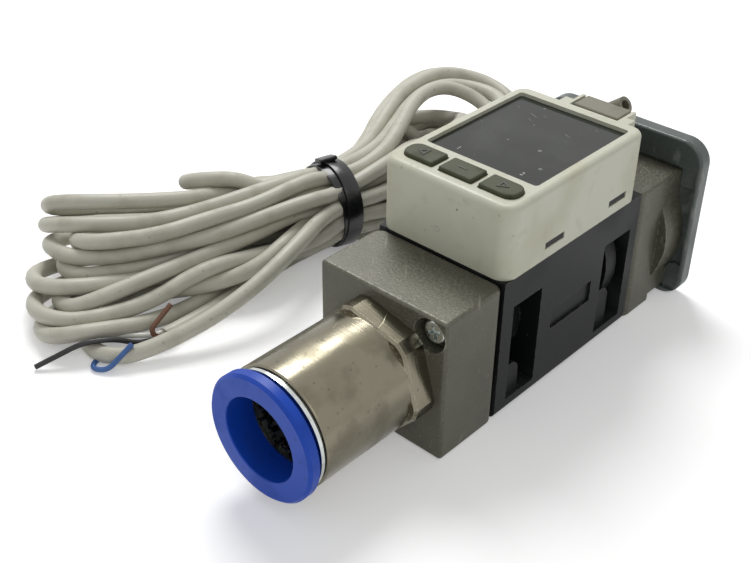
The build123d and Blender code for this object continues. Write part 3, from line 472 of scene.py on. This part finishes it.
def makeBright(name, roughness):
    material, tree, shader = newMaterial(name, bright["metallic"])
    rings = effect(tree, "turnedLines", Scale=5200)
    patches = effect(tree, "cloudy", Scale=600, Detail=4, Low=0.45, High=0.65)
    paint(tree, shader, bright["base"], (patches["Mask"], bright["dull"], 0.5))
    polish(tree, shader, patches["Mask"], roughness * bright["cleanShare"], roughness * bright["dullShare"])
    roughen(tree, shader, (rings["Height"], bright["ringDepth"]))
    return material


blackBody = {
    "base": seen(20, 22, 22),
    "dust": seen(84, 86, 84),
    "rub": seen(58, 60, 60),
    "shine": 0.18,
    "roughness": (0.42, 0.6),
    "grainDepth": 0.00003,
}


def makeBlackBody():
    material, tree, shader = newMaterial("matBlackMoulding", shine=blackBody["shine"])
    grain = effect(tree, "cloudy", Scale=2400, Detail=3, Low=0.45, High=0.7)
    patches = effect(tree, "cloudy", Scale=90, Detail=4, Low=0.45, High=0.75)
    alongEdges = effect(tree, "edgeBands", Width=0.0005, Scale=1100, Low=0.42, High=0.6)
    dust = effect(tree, "specks", Scale=1500, Size=0.4, Share=0.07)
    paint(tree, shader, blackBody["base"],
          (patches["Mask"], blackBody["rub"], 0.4),
          (alongEdges["Mask"], blackBody["dust"], 0.6),
          (dust["Mask"], blackBody["dust"], 0.5))
    polish(tree, shader, patches["Mask"], *blackBody["roughness"])
    roughen(tree, shader, (grain["Height"], blackBody["grainDepth"]))
    return material


plate = {
    "base": seen(78, 86, 83),
    "light": seen(104, 110, 106),
    "rub": seen(150, 154, 148),
    "dark": seen(46, 51, 51),
    "metallic": 0.1,
    "roughness": (0.34, 0.55),
    "grainDepth": 0.00003,
    "scuffDepth": -0.00002,
}


def makePlatePaint():
    material, tree, shader = newMaterial("greenGreyPaint", plate["metallic"])
    patches = effect(tree, "cloudy", Scale=110, Detail=6, Low=0.44, High=0.66)
    fine = effect(tree, "cloudy", Scale=1800, Detail=3, Low=0.5, High=0.7)
    scuffs = effect(tree, "scuffs", Scale=55, Turn=0.5, Low=0.60, High=0.72)
    alongEdges = effect(tree, "edgeBands", Width=0.0006, Scale=700, Low=0.42, High=0.6)
    paint(tree, shader, plate["base"],
          (patches["Mask"], plate["light"], 0.45),
          (fine["Mask"], plate["dark"], 0.3),
          (scuffs["Mask"], plate["rub"], 0.3),
          (alongEdges["Mask"], plate["rub"], 0.45))
    polish(tree, shader, patches["Mask"], *plate["roughness"])
    roughen(tree, shader, (fine["Height"], plate["grainDepth"]), (scuffs["Mask"], plate["scuffDepth"]))
    return material


window = {
    "base": seen(32, 35, 32),
    "display": seen(42, 45, 41),
    "line": seen(66, 69, 64),
    "mark": seen(158, 160, 156),
    "shine": 0.3,
    "roughness": (0.12, 0.26),
    # the display lies this far in from the window's edge, with a thin outline just outside it
    "border": 0.0022,
    "lineGap": 0.0003,
    "lineWidth": 0.00025,
    "lineBlur": 0.00005,
}


def pastDisplay(tree):
    # How far a place on the window lies outside the display: below 0 within it
    low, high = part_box("display_glass")
    middle = [(a + b) / 2 for a, b in zip(low, high)]
    shift = addNode(tree, "VectorMath", {0: objectPlace(tree), 1: middle}, operation="SUBTRACT")
    size = addNode(tree, "VectorMath", {0: shift.outputs[0]}, operation="ABSOLUTE")
    split = addNode(tree, "SeparateXYZ", {0: size.outputs[0]})
    past = {}
    for axis in (0, 1):
        reach = (high[axis] - low[axis]) / 2 - window["border"]
        past[axis] = addNode(tree, "Math", {0: split.outputs[axis], 1: reach},
                             operation="SUBTRACT").outputs[0]
    return addNode(tree, "Math", past, operation="MAXIMUM").outputs[0]


def makeWindow():
    # Smoked window over the unlit display: its border, a thin outline and a few scratches
    material, tree, shader = newMaterial("smokedWindow", shine=window["shine"])
    edge = pastDisplay(tree)
    start, blur = window["lineGap"], window["lineBlur"]
    end = start + window["lineWidth"]
    border = rangeMask(tree, edge, 0.0, start)
    outline = joinMasks(tree, "SUBTRACT", rangeMask(tree, edge, start, start + blur),
                        rangeMask(tree, edge, end, end + 2 * blur))
    patches = effect(tree, "cloudy", Scale=90, Detail=4, Low=0.42, High=0.7)
    scratch = effect(tree, "scuffs", Scale=120, Turn=0.35, Low=0.73, High=0.76)
    dust = effect(tree, "specks", Scale=700, Size=0.35, Share=0.05)
    paint(tree, shader, window["display"],
          (border, window["base"], 1.0),
          (outline, window["line"], 0.6),
          (patches["Mask"], window["line"], 0.25),
          (scratch["Mask"], window["mark"], 0.6),
          (dust["Mask"], window["mark"], 0.5))
    polish(tree, shader, patches["Mask"], *window["roughness"])
    return material


# Plastics and rubbers that are one colour with handling dirt and a fine grain: colour, dirt, roughness,
# and for some the grain's depth and scale, or the shine
plainFinishes = {
    "satinBlue": (seen(16, 70, 180), seen(14, 54, 140), 0.44, {"depth": 0.00001, "shine": 0.3}),
    "keyPlastic": (seen(70, 73, 54), seen(50, 52, 40), 0.6, {"shine": 0.25}),
    "plugPlastic": (seen(120, 117, 101), seen(108, 104, 90), 0.5, {}),
    "leadJacket": (seen(190, 188, 174), seen(158, 155, 138), 0.5, {"depth": 0.00003, "scale": 900}),
    "keyMark": (seen(44, 44, 36), seen(36, 36, 30), 0.5, {}),
    "windowInk": (seen(168, 170, 166), seen(140, 142, 138), 0.5, {}),
    "glossyTie": (seen(20, 21, 22), seen(60, 62, 62), 0.26, {"scale": 1400}),
    "sealRubber": (seen(26, 26, 26), seen(50, 50, 48), 0.6, {}),
    "silicone": (seen(186, 186, 182), seen(150, 150, 144), 0.6, {}),
    "whitePlastic": (seen(228, 228, 222), seen(196, 196, 186), 0.4, {}),
    "solderMask": (seen(40, 116, 70), seen(28, 84, 50), 0.3, {}),
    "coreWhite": (seen(206, 206, 198), seen(150, 146, 130), 0.4, {}),
    "coreBrown": (seen(104, 66, 44), seen(70, 44, 30), 0.4, {}),
    "coreBlack": (seen(18, 18, 19), seen(66, 64, 60), 0.4, {}),
    "coreBlue": (seen(58, 98, 158), seen(40, 66, 110), 0.4, {}),
}
soiling = {"cleanShare": 0.9, "dirtyShare": 1.2}


def makePlain(name, base, dirt, roughness, depth=0.00002, scale=1800, shine=0.5):
    material, tree, shader = newMaterial(name, shine=shine)
    patches = effect(tree, "cloudy", Scale=190, Detail=5, Low=0.45, High=0.72)
    fine = effect(tree, "cloudy", Scale=scale, Detail=2, Low=0.42, High=0.62)
    alongEdges = effect(tree, "edgeBands", Width=0.0004, Scale=900, Low=0.4, High=0.6)
    specks = effect(tree, "specks", Scale=900, Size=0.4, Share=0.06)
    paint(tree, shader, base,
          (patches["Mask"], dirt, 0.4),
          (alongEdges["Mask"], dirt, 0.35),
          (specks["Mask"], dirt, 0.6))
    clean, dirty = roughness * soiling["cleanShare"], roughness * soiling["dirtyShare"]
    polish(tree, shader, patches["Mask"], clean, dirty)
    roughen(tree, shader, (fine["Height"], depth))
    return material


finishes = {
    "ivoryMoulding": makeIvory(),
    "sparkleCasting": makeCast(),
    "turnedNickel": makeNickel(),
    "matBlackMoulding": makeBlackBody(),
    "greenGreyPaint": makePlatePaint(),
    "smokedWindow": makeWindow(),
}
for name, roughness in bright["roughness"].items():
    finishes[name] = makeBright(name, roughness)
for name, (base, dirt, roughness, others) in plainFinishes.items():
    finishes[name] = makePlain(name, base, dirt, roughness, **others)

# Which pieces have which finish
dressed = {
    "ivoryMoulding": ("display_case",),
    "sparkleCasting": ("inlet_block", "outlet_block"),
    "turnedNickel": ("fitting_body",),
    "brightRing": ("guide_ring",),
    "platedScrew": ("inlet_screws", "outlet_screws", "adapter_screws", "flow_screens", "tube_chuck"),
    "contactBrass": ("socket_pins",),
    "matBlackMoulding": ("flow_body", "screen_spacers"),
    "greenGreyPaint": ("adapter_plate",),
    "smokedWindow": ("display_glass",),
    "satinBlue": ("release_collar",),
    "keyPlastic": ("button_left", "button_centre", "button_right"),
    "plugPlastic": ("plug", "socket_housing"),
    "glossyTie": ("hank_tie",),
    "sealRubber": ("inlet_seal", "outlet_seal", "neck_seal", "adapter_seal", "sensor_gasket", "tube_seal"),
    "silicone": ("key_mat",),
    "whitePlastic": ("light_guide", "lcd_panel", "flow_sensor"),
    "solderMask": ("main_board",),
    "coreWhite": ("core_white",),
    "coreBrown": ("core_brown",),
    "coreBlack": ("core_black",),
    "coreBlue": ("core_blue",),
}
for finish, pieces in dressed.items():
    for name in pieces:
        for holder in nodes[name].material_slots:
            holder.material = finishes[finish]
print("every piece has its finish")


# The lead: 3 m of round cable from the plug, through eleven turns held by a tie, to its cut end
lead = {
    "diameter": 0.0035,
    "length": 3.0,
    # how finely the line is drawn, along it and around it
    "stepsAlong": 6,
    "stepsAround": 5,
    "tieCentre": (-0.0524, 0.0163, 0.0102),
    "tieHeading": 75.5,
    # strands in the tie: how many, on what radius, and the angle of the first from the top
    "rings": ((13, 0.0075, -41.5), (7, 0.0039, -26.0), (3, 0.0013, 10.0)),
    # how far from the tie's middle a leg begins, and the share of that where the strand has its inner point
    "tieReach": 0.0042,
    "innerShare": 0.3,
    # places along a leg, how strongly it keeps its way at both ends, and the points round a fold
    "legSteps": (0.08, 0.30, 0.52, 0.74, 0.93),
    "pull": 0.35,
    "foldSteps": 4,
    "fromPlug": [(0.00024, 0.04185, 0.04143), (-0.00776, 0.04185, 0.03543), (-0.0195, 0.0436, 0.0314),
                 (-0.0305, 0.0485, 0.0230), (-0.0385, 0.0550, 0.0160), (-0.0450, 0.0575, 0.0125),
                 (-0.0500, 0.0525, 0.0120), (-0.0495, 0.0430, 0.0135), (-0.0468, 0.0310, 0.0155)],
    "toCutEnd": [(-0.0540, 0.0050, 0.0018), (-0.0515, -0.0080, 0.0018), (-0.0490, -0.0210, 0.0018),
                 (-0.0492, -0.0361, 0.0018)],
}
# The folds in turn, at the front (-1) and at the rear (1): tip, heading there, way across from the first
# leg to the second, half width, the slots in the tie that the two legs come from, and for one a bow of both
leadFolds = [
    (-1, (-0.0858, -0.0373, 0.0088), 225, (-0.65, 0.68, -0.33), 0.0105, (0, 3), (0, 10)),
    (1, (-0.0560, 0.0750, 0.0085), 90, (0.96, 0, 0.10), 0.0120, (0, 10), (1, 2)),
    (-1, (-0.0725, -0.0475, 0.0062), 238, (-0.60, 0.78, -0.12), 0.0070, (1, 2), (2, 0)),
    (1, (-0.0590, 0.0670, 0.0120), 92, (-0.96, 0, -0.10), 0.0100, (2, 0), (0, 11)),
    (-1, (-0.0905, -0.0347, 0.0110), 223, (0.62, -0.65, 0.436), 0.0105, (0, 11), (0, 1)),
    (1, (-0.0520, 0.0755, 0.0175), 80, (0.96, 0, -0.20), 0.0100, (0, 1), (0, 6)),
    (-1, (-0.0800, -0.0460, 0.0070), 236, (-0.60, 0.78, -0.16), 0.0105, (0, 6), (0, 9)),
    (1, (-0.0570, 0.0780, 0.0050), 90, (0.96, 0, 0.05), 0.0130, (0, 9), (2, 1)),
    (-1, (-0.0588, -0.0491, 0.00175), 262, (0.75, -0.66, 0.0), 0.0090, (2, 1), (0, 4),
     (0.0092, 0, 0.0025)),
    (1, (-0.0560, 0.0845, 0.0140), 80, (-0.93, 0, 0.30), 0.0140, (0, 4), (0, 12)),
    (-1, (-0.0940, -0.0328, 0.0135), 223, (0.57, -0.60, 0.557), 0.0105, (0, 12), (0, 0)),
    (1, (-0.0535, 0.0800, 0.0165), 80, (0.93, 0, -0.37), 0.0120, (0, 0), (0, 5)),
    (-1, (-0.0748, -0.0500, 0.0046), 240, (-0.55, 0.82, -0.10), 0.0105, (0, 5), (0, 8)),
    (1, (-0.0550, 0.0730, 0.0018), 88, (1.0, 0, 0.0), 0.0110, (0, 8), (1, 3)),
    (-1, (-0.0703, -0.0523, 0.0025), 242, (-0.55, 0.83, -0.03), 0.0100, (1, 3), (2, 2)),
    (1, (-0.0560, 0.0620, 0.0100), 90, (0.96, 0, 0.20), 0.0080, (2, 2), (1, 0)),
    (-1, (-0.0775, -0.0080, 0.0155), 235, (-0.60, 0.60, -0.50), 0.0075, (1, 0), (1, 6)),
    (1, (-0.0620, 0.0580, 0.0080), 95, (0.50, 0, -0.86), 0.0070, (1, 6), (1, 5)),
    (-1, (-0.0800, -0.0367, 0.0115), 223, (0.65, -0.68, 0.33), 0.0070, (1, 5), (0, 2)),
    (1, (-0.0505, 0.0715, 0.0165), 80, (0.85, 0, -0.50), 0.0095, (0, 2), (1, 1)),
    (-1, (-0.0805, -0.0405, 0.0075), 232, (-0.68, 0.70, -0.20), 0.0070, (1, 1), (1, 4)),
    (1, (-0.0520, 0.0790, 0.0018), 88, (1.0, 0, 0.0), 0.0130, (1, 4), (0, 7)),
]


def headingWay(degrees):
    return Vector((cos(radians(degrees)), sin(radians(degrees)), 0))


tieWay = headingWay(lead["tieHeading"])
tieSide = Vector((0, 0, 1)).cross(tieWay)


def slotPlace(slot, along):
    ring, number = slot
    count, radius, first = lead["rings"][ring]
    angle = radians(first + 360 * number / count)
    across = Vector((0, 0, radius * cos(angle))) - tieSide * radius * sin(angle)
    return Vector(lead["tieCentre"]) + tieWay * along + across


def legPoints(start, wayOut, end, wayIn, bow):
    # A leg is one smooth bend from its slot in the tie to its side of the fold
    pull = (end - start).length * lead["pull"]
    leave, arrive = start + wayOut * pull, end - wayIn * pull
    points = []
    for t in lead["legSteps"]:
        u = 1 - t
        place = start * u ** 3 + leave * 3 * t * u ** 2 + arrive * 3 * t * t * u + end * t ** 3
        points.append(place + bow * 4 * t * u)
    return points


def foldPoints(side, tip, heading, across, half, slotIn, slotOut, bow=(0, 0, 0)):
    way, across, bow = headingWay(heading), Vector(across).normalized(), Vector(bow)
    middle = Vector(tip) - way * half
    reach = side * lead["tieReach"]
    inner = reach * lead["innerShare"]
    first = legPoints(slotPlace(slotIn, reach), tieWay * side, middle - across * half, way, bow)
    second = legPoints(slotPlace(slotOut, reach), tieWay * side, middle + across * half, way, bow)
    # Control points stand a little outside the half circle that the spline draws within them
    steps = lead["foldSteps"]
    outside = cos(pi / (2 * steps))
    turn = []
    for step in range(steps):
        angle = pi * (step + 0.5) / steps
        turn.append(middle + (way * sin(angle) - across * cos(angle)) * half / outside)
    return [slotPlace(slotIn, inner), *first, *turn, *reversed(second), slotPlace(slotOut, inner)]


# How the laid folds settle into a hank
settling = {
    "rounds": 200,
    # the room that two strands keep, how far around each it is looked for, and the share mended in a round
    "room": 0.0034,
    "lookFurther": 0.006,
    "push": 0.30,
    # places this many steps along one strand don't push each other
    "sameStrand": 5,
    # bends under this radius are eased by this share in a round
    "tightest": 0.0095,
    "ease": 0.40,
    # the share by which each point goes back to where it was laid
    "memory": 0.012,
    # the points that stay as laid at the plug
    "heldAtPlug": 4,
    # the space for the hank: short of the switch, under this height, this far past the solids' left side,
    # and so many cable radii inside their front and rear
    "clearOfSwitch": -0.0235,
    "highest": 0.0235,
    "pastLeft": 0.0022,
    "endRadii": 1.1,
    # the tie holds the strands' middles within this radius along its half width; past that the hold opens
    # by this share of the way, up to so many half widths
    "held": 0.0075,
    "holdHalf": 0.0034,
    "opening": 0.40,
    "holdReach": 4,
    # lengths and squares below these count as these
    "leastLength": 1e-6,
    "leastSquare": 1e-18,
}


def strandPoints(points):
    # Where the spline itself runs: beside each control point and half way to the next
    inner = (points[:-2] + points[1:-1] * 6 + points[2:]) / 8
    half = (points[1:-1] + points[2:]) / 2
    line = np.empty((2 * len(inner), 3))
    line[0::2], line[1::2] = inner, half
    return line


def nearestOnRuns(start, way, other, otherWay):
    # The closest places of two straight runs, as shares of each
    gap = start - other
    a, b, c = (way * way).sum(-1), (way * otherWay).sum(-1), (otherWay * otherWay).sum(-1)
    d, e = (way * gap).sum(-1), (otherWay * gap).sum(-1)
    least = settling["leastSquare"]
    s = np.clip((b * e - c * d) / np.maximum(a * c - b * b, least), 0, 1)
    t = np.clip((b * s + e) / np.maximum(c, least), 0, 1)
    s = np.clip((b * t - d) / np.maximum(a, least), 0, 1)
    return s, t


def pushApart(now):
    # Strands that cut into each other move each other's control points away
    room = settling["room"]
    line = strandPoints(now)
    start, way = line[:-1], line[1:] - line[:-1]
    middle = start + way / 2
    near = ((middle[:, None] - middle[None]) ** 2).sum(-1) < (room + settling["lookFurther"]) ** 2
    first, second = np.nonzero(np.triu(near, settling["sameStrand"]))
    s, t = nearestOnRuns(start[first], way[first], start[second], way[second])
    apart = start[first] + way[first] * s[:, None] - start[second] - way[second] * t[:, None]
    far = np.linalg.norm(apart, axis=1)
    close = far < room
    first, second, apart, far = first[close], second[close], apart[close], far[close]
    lack = (room - far) * settling["push"]
    push = apart / np.maximum(far, settling["leastLength"])[:, None] * lack[:, None]
    move = np.zeros_like(now)
    count = np.zeros(len(now))
    for runs, sign in ((first, 1), (second, -1)):
        for ahead in (1, 2):
            at = np.minimum(runs // 2 + ahead, len(now) - 1)
            np.add.at(move, at, push * sign)
            np.add.at(count, at, 1)
    # A point that several strands push moves by less than their sum
    return move / np.maximum(count, 1)[:, None] ** 0.5


def easeBends(now):
    # A control point moves towards the middle of its neighbours where the curve there is too tight
    before, here, after = now[:-2], now[1:-1], now[2:]
    a, b = (before + here) / 2, (after + here) / 2
    # One over the radius at the middle of the curve's span from a to b
    area = np.linalg.norm(np.cross(a - here, b - here), axis=1) / 2
    bend = 8 * area / np.maximum(np.linalg.norm(b - a, axis=1), settling["leastLength"]) ** 3
    tight = np.clip(1 - 1 / np.maximum(bend * settling["tightest"], settling["leastLength"]), 0, 1)[:, None]
    ease = ((before + after) / 2 - here) * tight * settling["ease"]
    move = np.zeros_like(now)
    move[1:-1] += ease
    move[:-2] -= ease / 2
    move[2:] -= ease / 2
    return move


def keepInTie(now):
    centre, axis = np.array(lead["tieCentre"]), np.array(list(tieWay))
    along = (now - centre) @ axis
    out = now - centre - along[:, None] * axis
    reach = np.maximum(np.linalg.norm(out, axis=1), settling["leastLength"])
    most = settling["held"] + np.maximum(np.abs(along) - settling["holdHalf"], 0) * settling["opening"]
    over = (reach > most) & (np.abs(along) < settling["holdReach"] * settling["holdHalf"])
    inside = centre + along[:, None] * axis + out * (most / reach)[:, None]
    return np.where(over[:, None], inside, now)


def settle(points):
    # Round by round, strands part, tight bends open and all stay in their space, as in a real hank
    laid = np.array([list(point) for point in points])
    free = np.zeros((len(laid), 1), bool)
    free[settling["heldAtPlug"]:len(laid) - len(lead["toCutEnd"]) + 1] = True
    radius = lead["diameter"] / 2
    endRoom = radius * settling["endRadii"]
    low = np.array([cadBox[0][0] - settling["pastLeft"] + radius, cadBox[0][1] + endRoom, radius])
    high = np.array([settling["clearOfSwitch"], cadBox[1][1] - endRoom, settling["highest"]])
    now = laid.copy()
    for _ in range(settling["rounds"]):
        now += np.where(free, pushApart(now), 0)
        now += np.where(free, easeBends(now), 0)
        now += np.where(free, (laid - now) * settling["memory"], 0)
        now = np.where(free, np.clip(now, low, high), now)
        now = np.where(free, keepInTie(now), now)
    return [Vector(point) for point in now]


def addLead(tiePiece):
    points = [Vector(place) for place in lead["fromPlug"]]
    for fold in leadFolds:
        points += foldPoints(*fold)
    points += [Vector(place) for place in lead["toCutEnd"]]
    points = settle(points)
    curve = bpy.data.curves.new("lead", "CURVE")
    curve.dimensions = "3D"
    line = curve.splines.new("NURBS")
    line.points.add(len(points) - 1)
    for point, place in zip(line.points, points):
        point.co = (*place, 1)
    line.order_u = 3
    line.use_endpoint_u = True
    line.resolution_u = lead["stepsAlong"]
    curve.bevel_depth = lead["diameter"] / 2
    curve.bevel_resolution = lead["stepsAround"]
    curve.use_fill_caps = True
    curve.materials.append(finishes["leadJacket"])
    piece = bpy.data.objects.new("lead", curve)
    bpy.context.scene.collection.objects.link(piece)
    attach(piece, "switch")
    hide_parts("lead_cable", "lead_hank", "lead_tail")
    on = [tiePiece, nodes["plug"]]
    on += [nodes["core_" + colour] for colour in ("white", "brown", "black", "blue")]


# Helpers for pieces

def onlyThis(piece):
    bpy.ops.object.select_all(action="DESELECT")
    piece.select_set(True)
    bpy.context.view_layer.objects.active = piece


def settleInMesh(piece):
    # The finished piece sits at the origin, with its place in its mesh
    onlyThis(piece)
    bpy.ops.object.transform_apply(location=True, rotation=True, scale=True)


def useModifier(piece, kind, **settings):
    onlyThis(piece)
    modifier = piece.modifiers.new(kind.lower(), kind)
    for name, value in settings.items():
        setattr(modifier, name, value)
    bpy.ops.object.modifier_apply(modifier=modifier.name)


def addBlock(place, size, turn=(0, 0, 0)):
    bpy.ops.object.select_all(action="DESELECT")
    bpy.ops.mesh.primitive_cube_add(size=1, location=place)
    block = bpy.context.object
    block.scale = size
    block.rotation_euler = turn
    bpy.ops.object.transform_apply(location=False, rotation=False, scale=True)
    return block


def finishPiece(piece, name, finish, body):
    settleInMesh(piece)
    piece.name = name
    piece.data.materials.clear()
    piece.data.materials.append(finishes[finish])
    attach(piece, body)


# The tie: a thin band wound twice, not quite square, with its end pressed down on the top
tie = {
    "radius": 0.00955,
    "width": 0.0038,
    "thickness": 0.00045,
    "sides": 72,
    "edgeShare": 0.3,
    # each turn: shift along the hank, lean in degrees, and how much wider it is
    "turns": ((-0.0004, 3.0, 0.0), (0.0005, -4.0, 0.00045)),
    "endSize": (0.0030, 0.0046, 0.0011),
    "endLift": 0.0009,
    "endAside": 0.0022,
    "endTurn": 18.0,
    "endEdge": 0.0004,
    "sharpest": 40.0,
}


def addTieTurn(shift, lean, wider):
    bpy.ops.object.select_all(action="DESELECT")
    bpy.ops.mesh.primitive_cylinder_add(vertices=tie["sides"], radius=tie["radius"] + wider,
                                        depth=tie["width"], end_fill_type="NOTHING")
    band = bpy.context.object
    band.rotation_euler = (radians(90 + lean), 0, radians(lead["tieHeading"] - 90))
    band.location = Vector(lead["tieCentre"]) + tieWay * shift
    useModifier(band, "SOLIDIFY", thickness=tie["thickness"], offset=0)
    useModifier(band, "BEVEL", width=tie["thickness"] * tie["edgeShare"], segments=2, limit_method="ANGLE")
    settleInMesh(band)
    return band


def addTieEnd():
    lift = Vector((0, 0, tie["radius"] + tie["endLift"]))
    place = Vector(lead["tieCentre"]) + lift + tieSide * tie["endAside"]
    end = addBlock(place, tie["endSize"], (0, radians(-tie["endTurn"]), radians(lead["tieHeading"] - 90)))
    useModifier(end, "BEVEL", width=tie["endEdge"], segments=3)
    useModifier(end, "SUBSURF", levels=1, render_levels=1)
    settleInMesh(end)
    return end


def addTie():
    turns = [addTieTurn(*turn) for turn in tie["turns"]]
    end = addTieEnd()
    onlyThis(turns[0])
    for other in (*turns[1:], end):
        other.select_set(True)
    bpy.ops.object.join()
    piece = bpy.context.object
    bpy.ops.object.shade_smooth_by_angle(angle=radians(tie["sharpest"]))
    finishPiece(piece, "tieBand", "glossyTie", "switch")
    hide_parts("hank_tie")
    return piece


tiePiece = addTie()
print("the tie holds the hank")
addLead(tiePiece)
print("the lead is laid")


# Raised marks on the keys and plain figures on the window
marks = {
    "triangle": 0.00135,
    "rim": 0.00028,
    "rise": 0.00012,
    # the keys with a triangle and the way it points, in degrees
    "turns": {"left": -30, "right": 30},
    "bar": (0.0020, 0.00035),
    "edgeShare": 0.8,
    "figure": 0.0017,
    "ink": 0.00002,
    # a figure stands this far in from the window's side and up from its front
    "figureInset": (0.0062, 0.0034),
}


def keyTop(node):
    low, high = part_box(node)
    return ((low[0] + high[0]) / 2, (low[1] + high[1]) / 2, high[2])


def addTriangle(side):
    node = "button_" + side
    bpy.ops.object.select_all(action="DESELECT")
    bpy.ops.mesh.primitive_circle_add(vertices=3, radius=marks["triangle"], fill_type="NGON",
                                      location=keyTop(node), rotation=(0, 0, radians(marks["turns"][side])))
    piece = bpy.context.object
    bpy.ops.object.mode_set(mode="EDIT")
    bpy.ops.mesh.select_all(action="SELECT")
    bpy.ops.mesh.inset(thickness=marks["rim"])
    bpy.ops.mesh.delete(type="FACE")
    bpy.ops.mesh.select_all(action="SELECT")
    bpy.ops.mesh.extrude_region_move(TRANSFORM_OT_translate={"value": (0, 0, marks["rise"])})
    bpy.ops.mesh.select_all(action="SELECT")
    bpy.ops.mesh.normals_make_consistent(inside=False)
    bpy.ops.object.mode_set(mode="OBJECT")
    finishPiece(piece, node + "Mark", "keyMark", "key_" + side)


def addBar(side):
    node = "button_" + side
    piece = addBlock(keyTop(node), (*marks["bar"], marks["rise"] * 2))
    useModifier(piece, "BEVEL", width=marks["rise"] * marks["edgeShare"], segments=2)
    finishPiece(piece, node + "Mark", "keyMark", "key_" + side)


def addFigure(text, place):
    bpy.ops.object.select_all(action="DESELECT")
    bpy.ops.object.text_add(location=place)
    piece = bpy.context.object
    piece.data.body = text
    piece.data.size = marks["figure"]
    piece.data.align_x = "CENTER"
    piece.data.extrude = marks["ink"]
    bpy.ops.object.convert(target="MESH")
    finishPiece(bpy.context.object, "figure" + text, "windowInk", "switch")


def addMarks():
    for side in marks["turns"]:
        addTriangle(side)
    addBar("centre")
    low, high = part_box("display_glass")
    inset, up = marks["figureInset"]
    for text, across in (("1", low[0] + inset), ("2", high[0] - inset)):
        addFigure(text, (across, low[1] + up, high[2] + marks["ink"] / 2))


addMarks()
print("keys and window are marked")
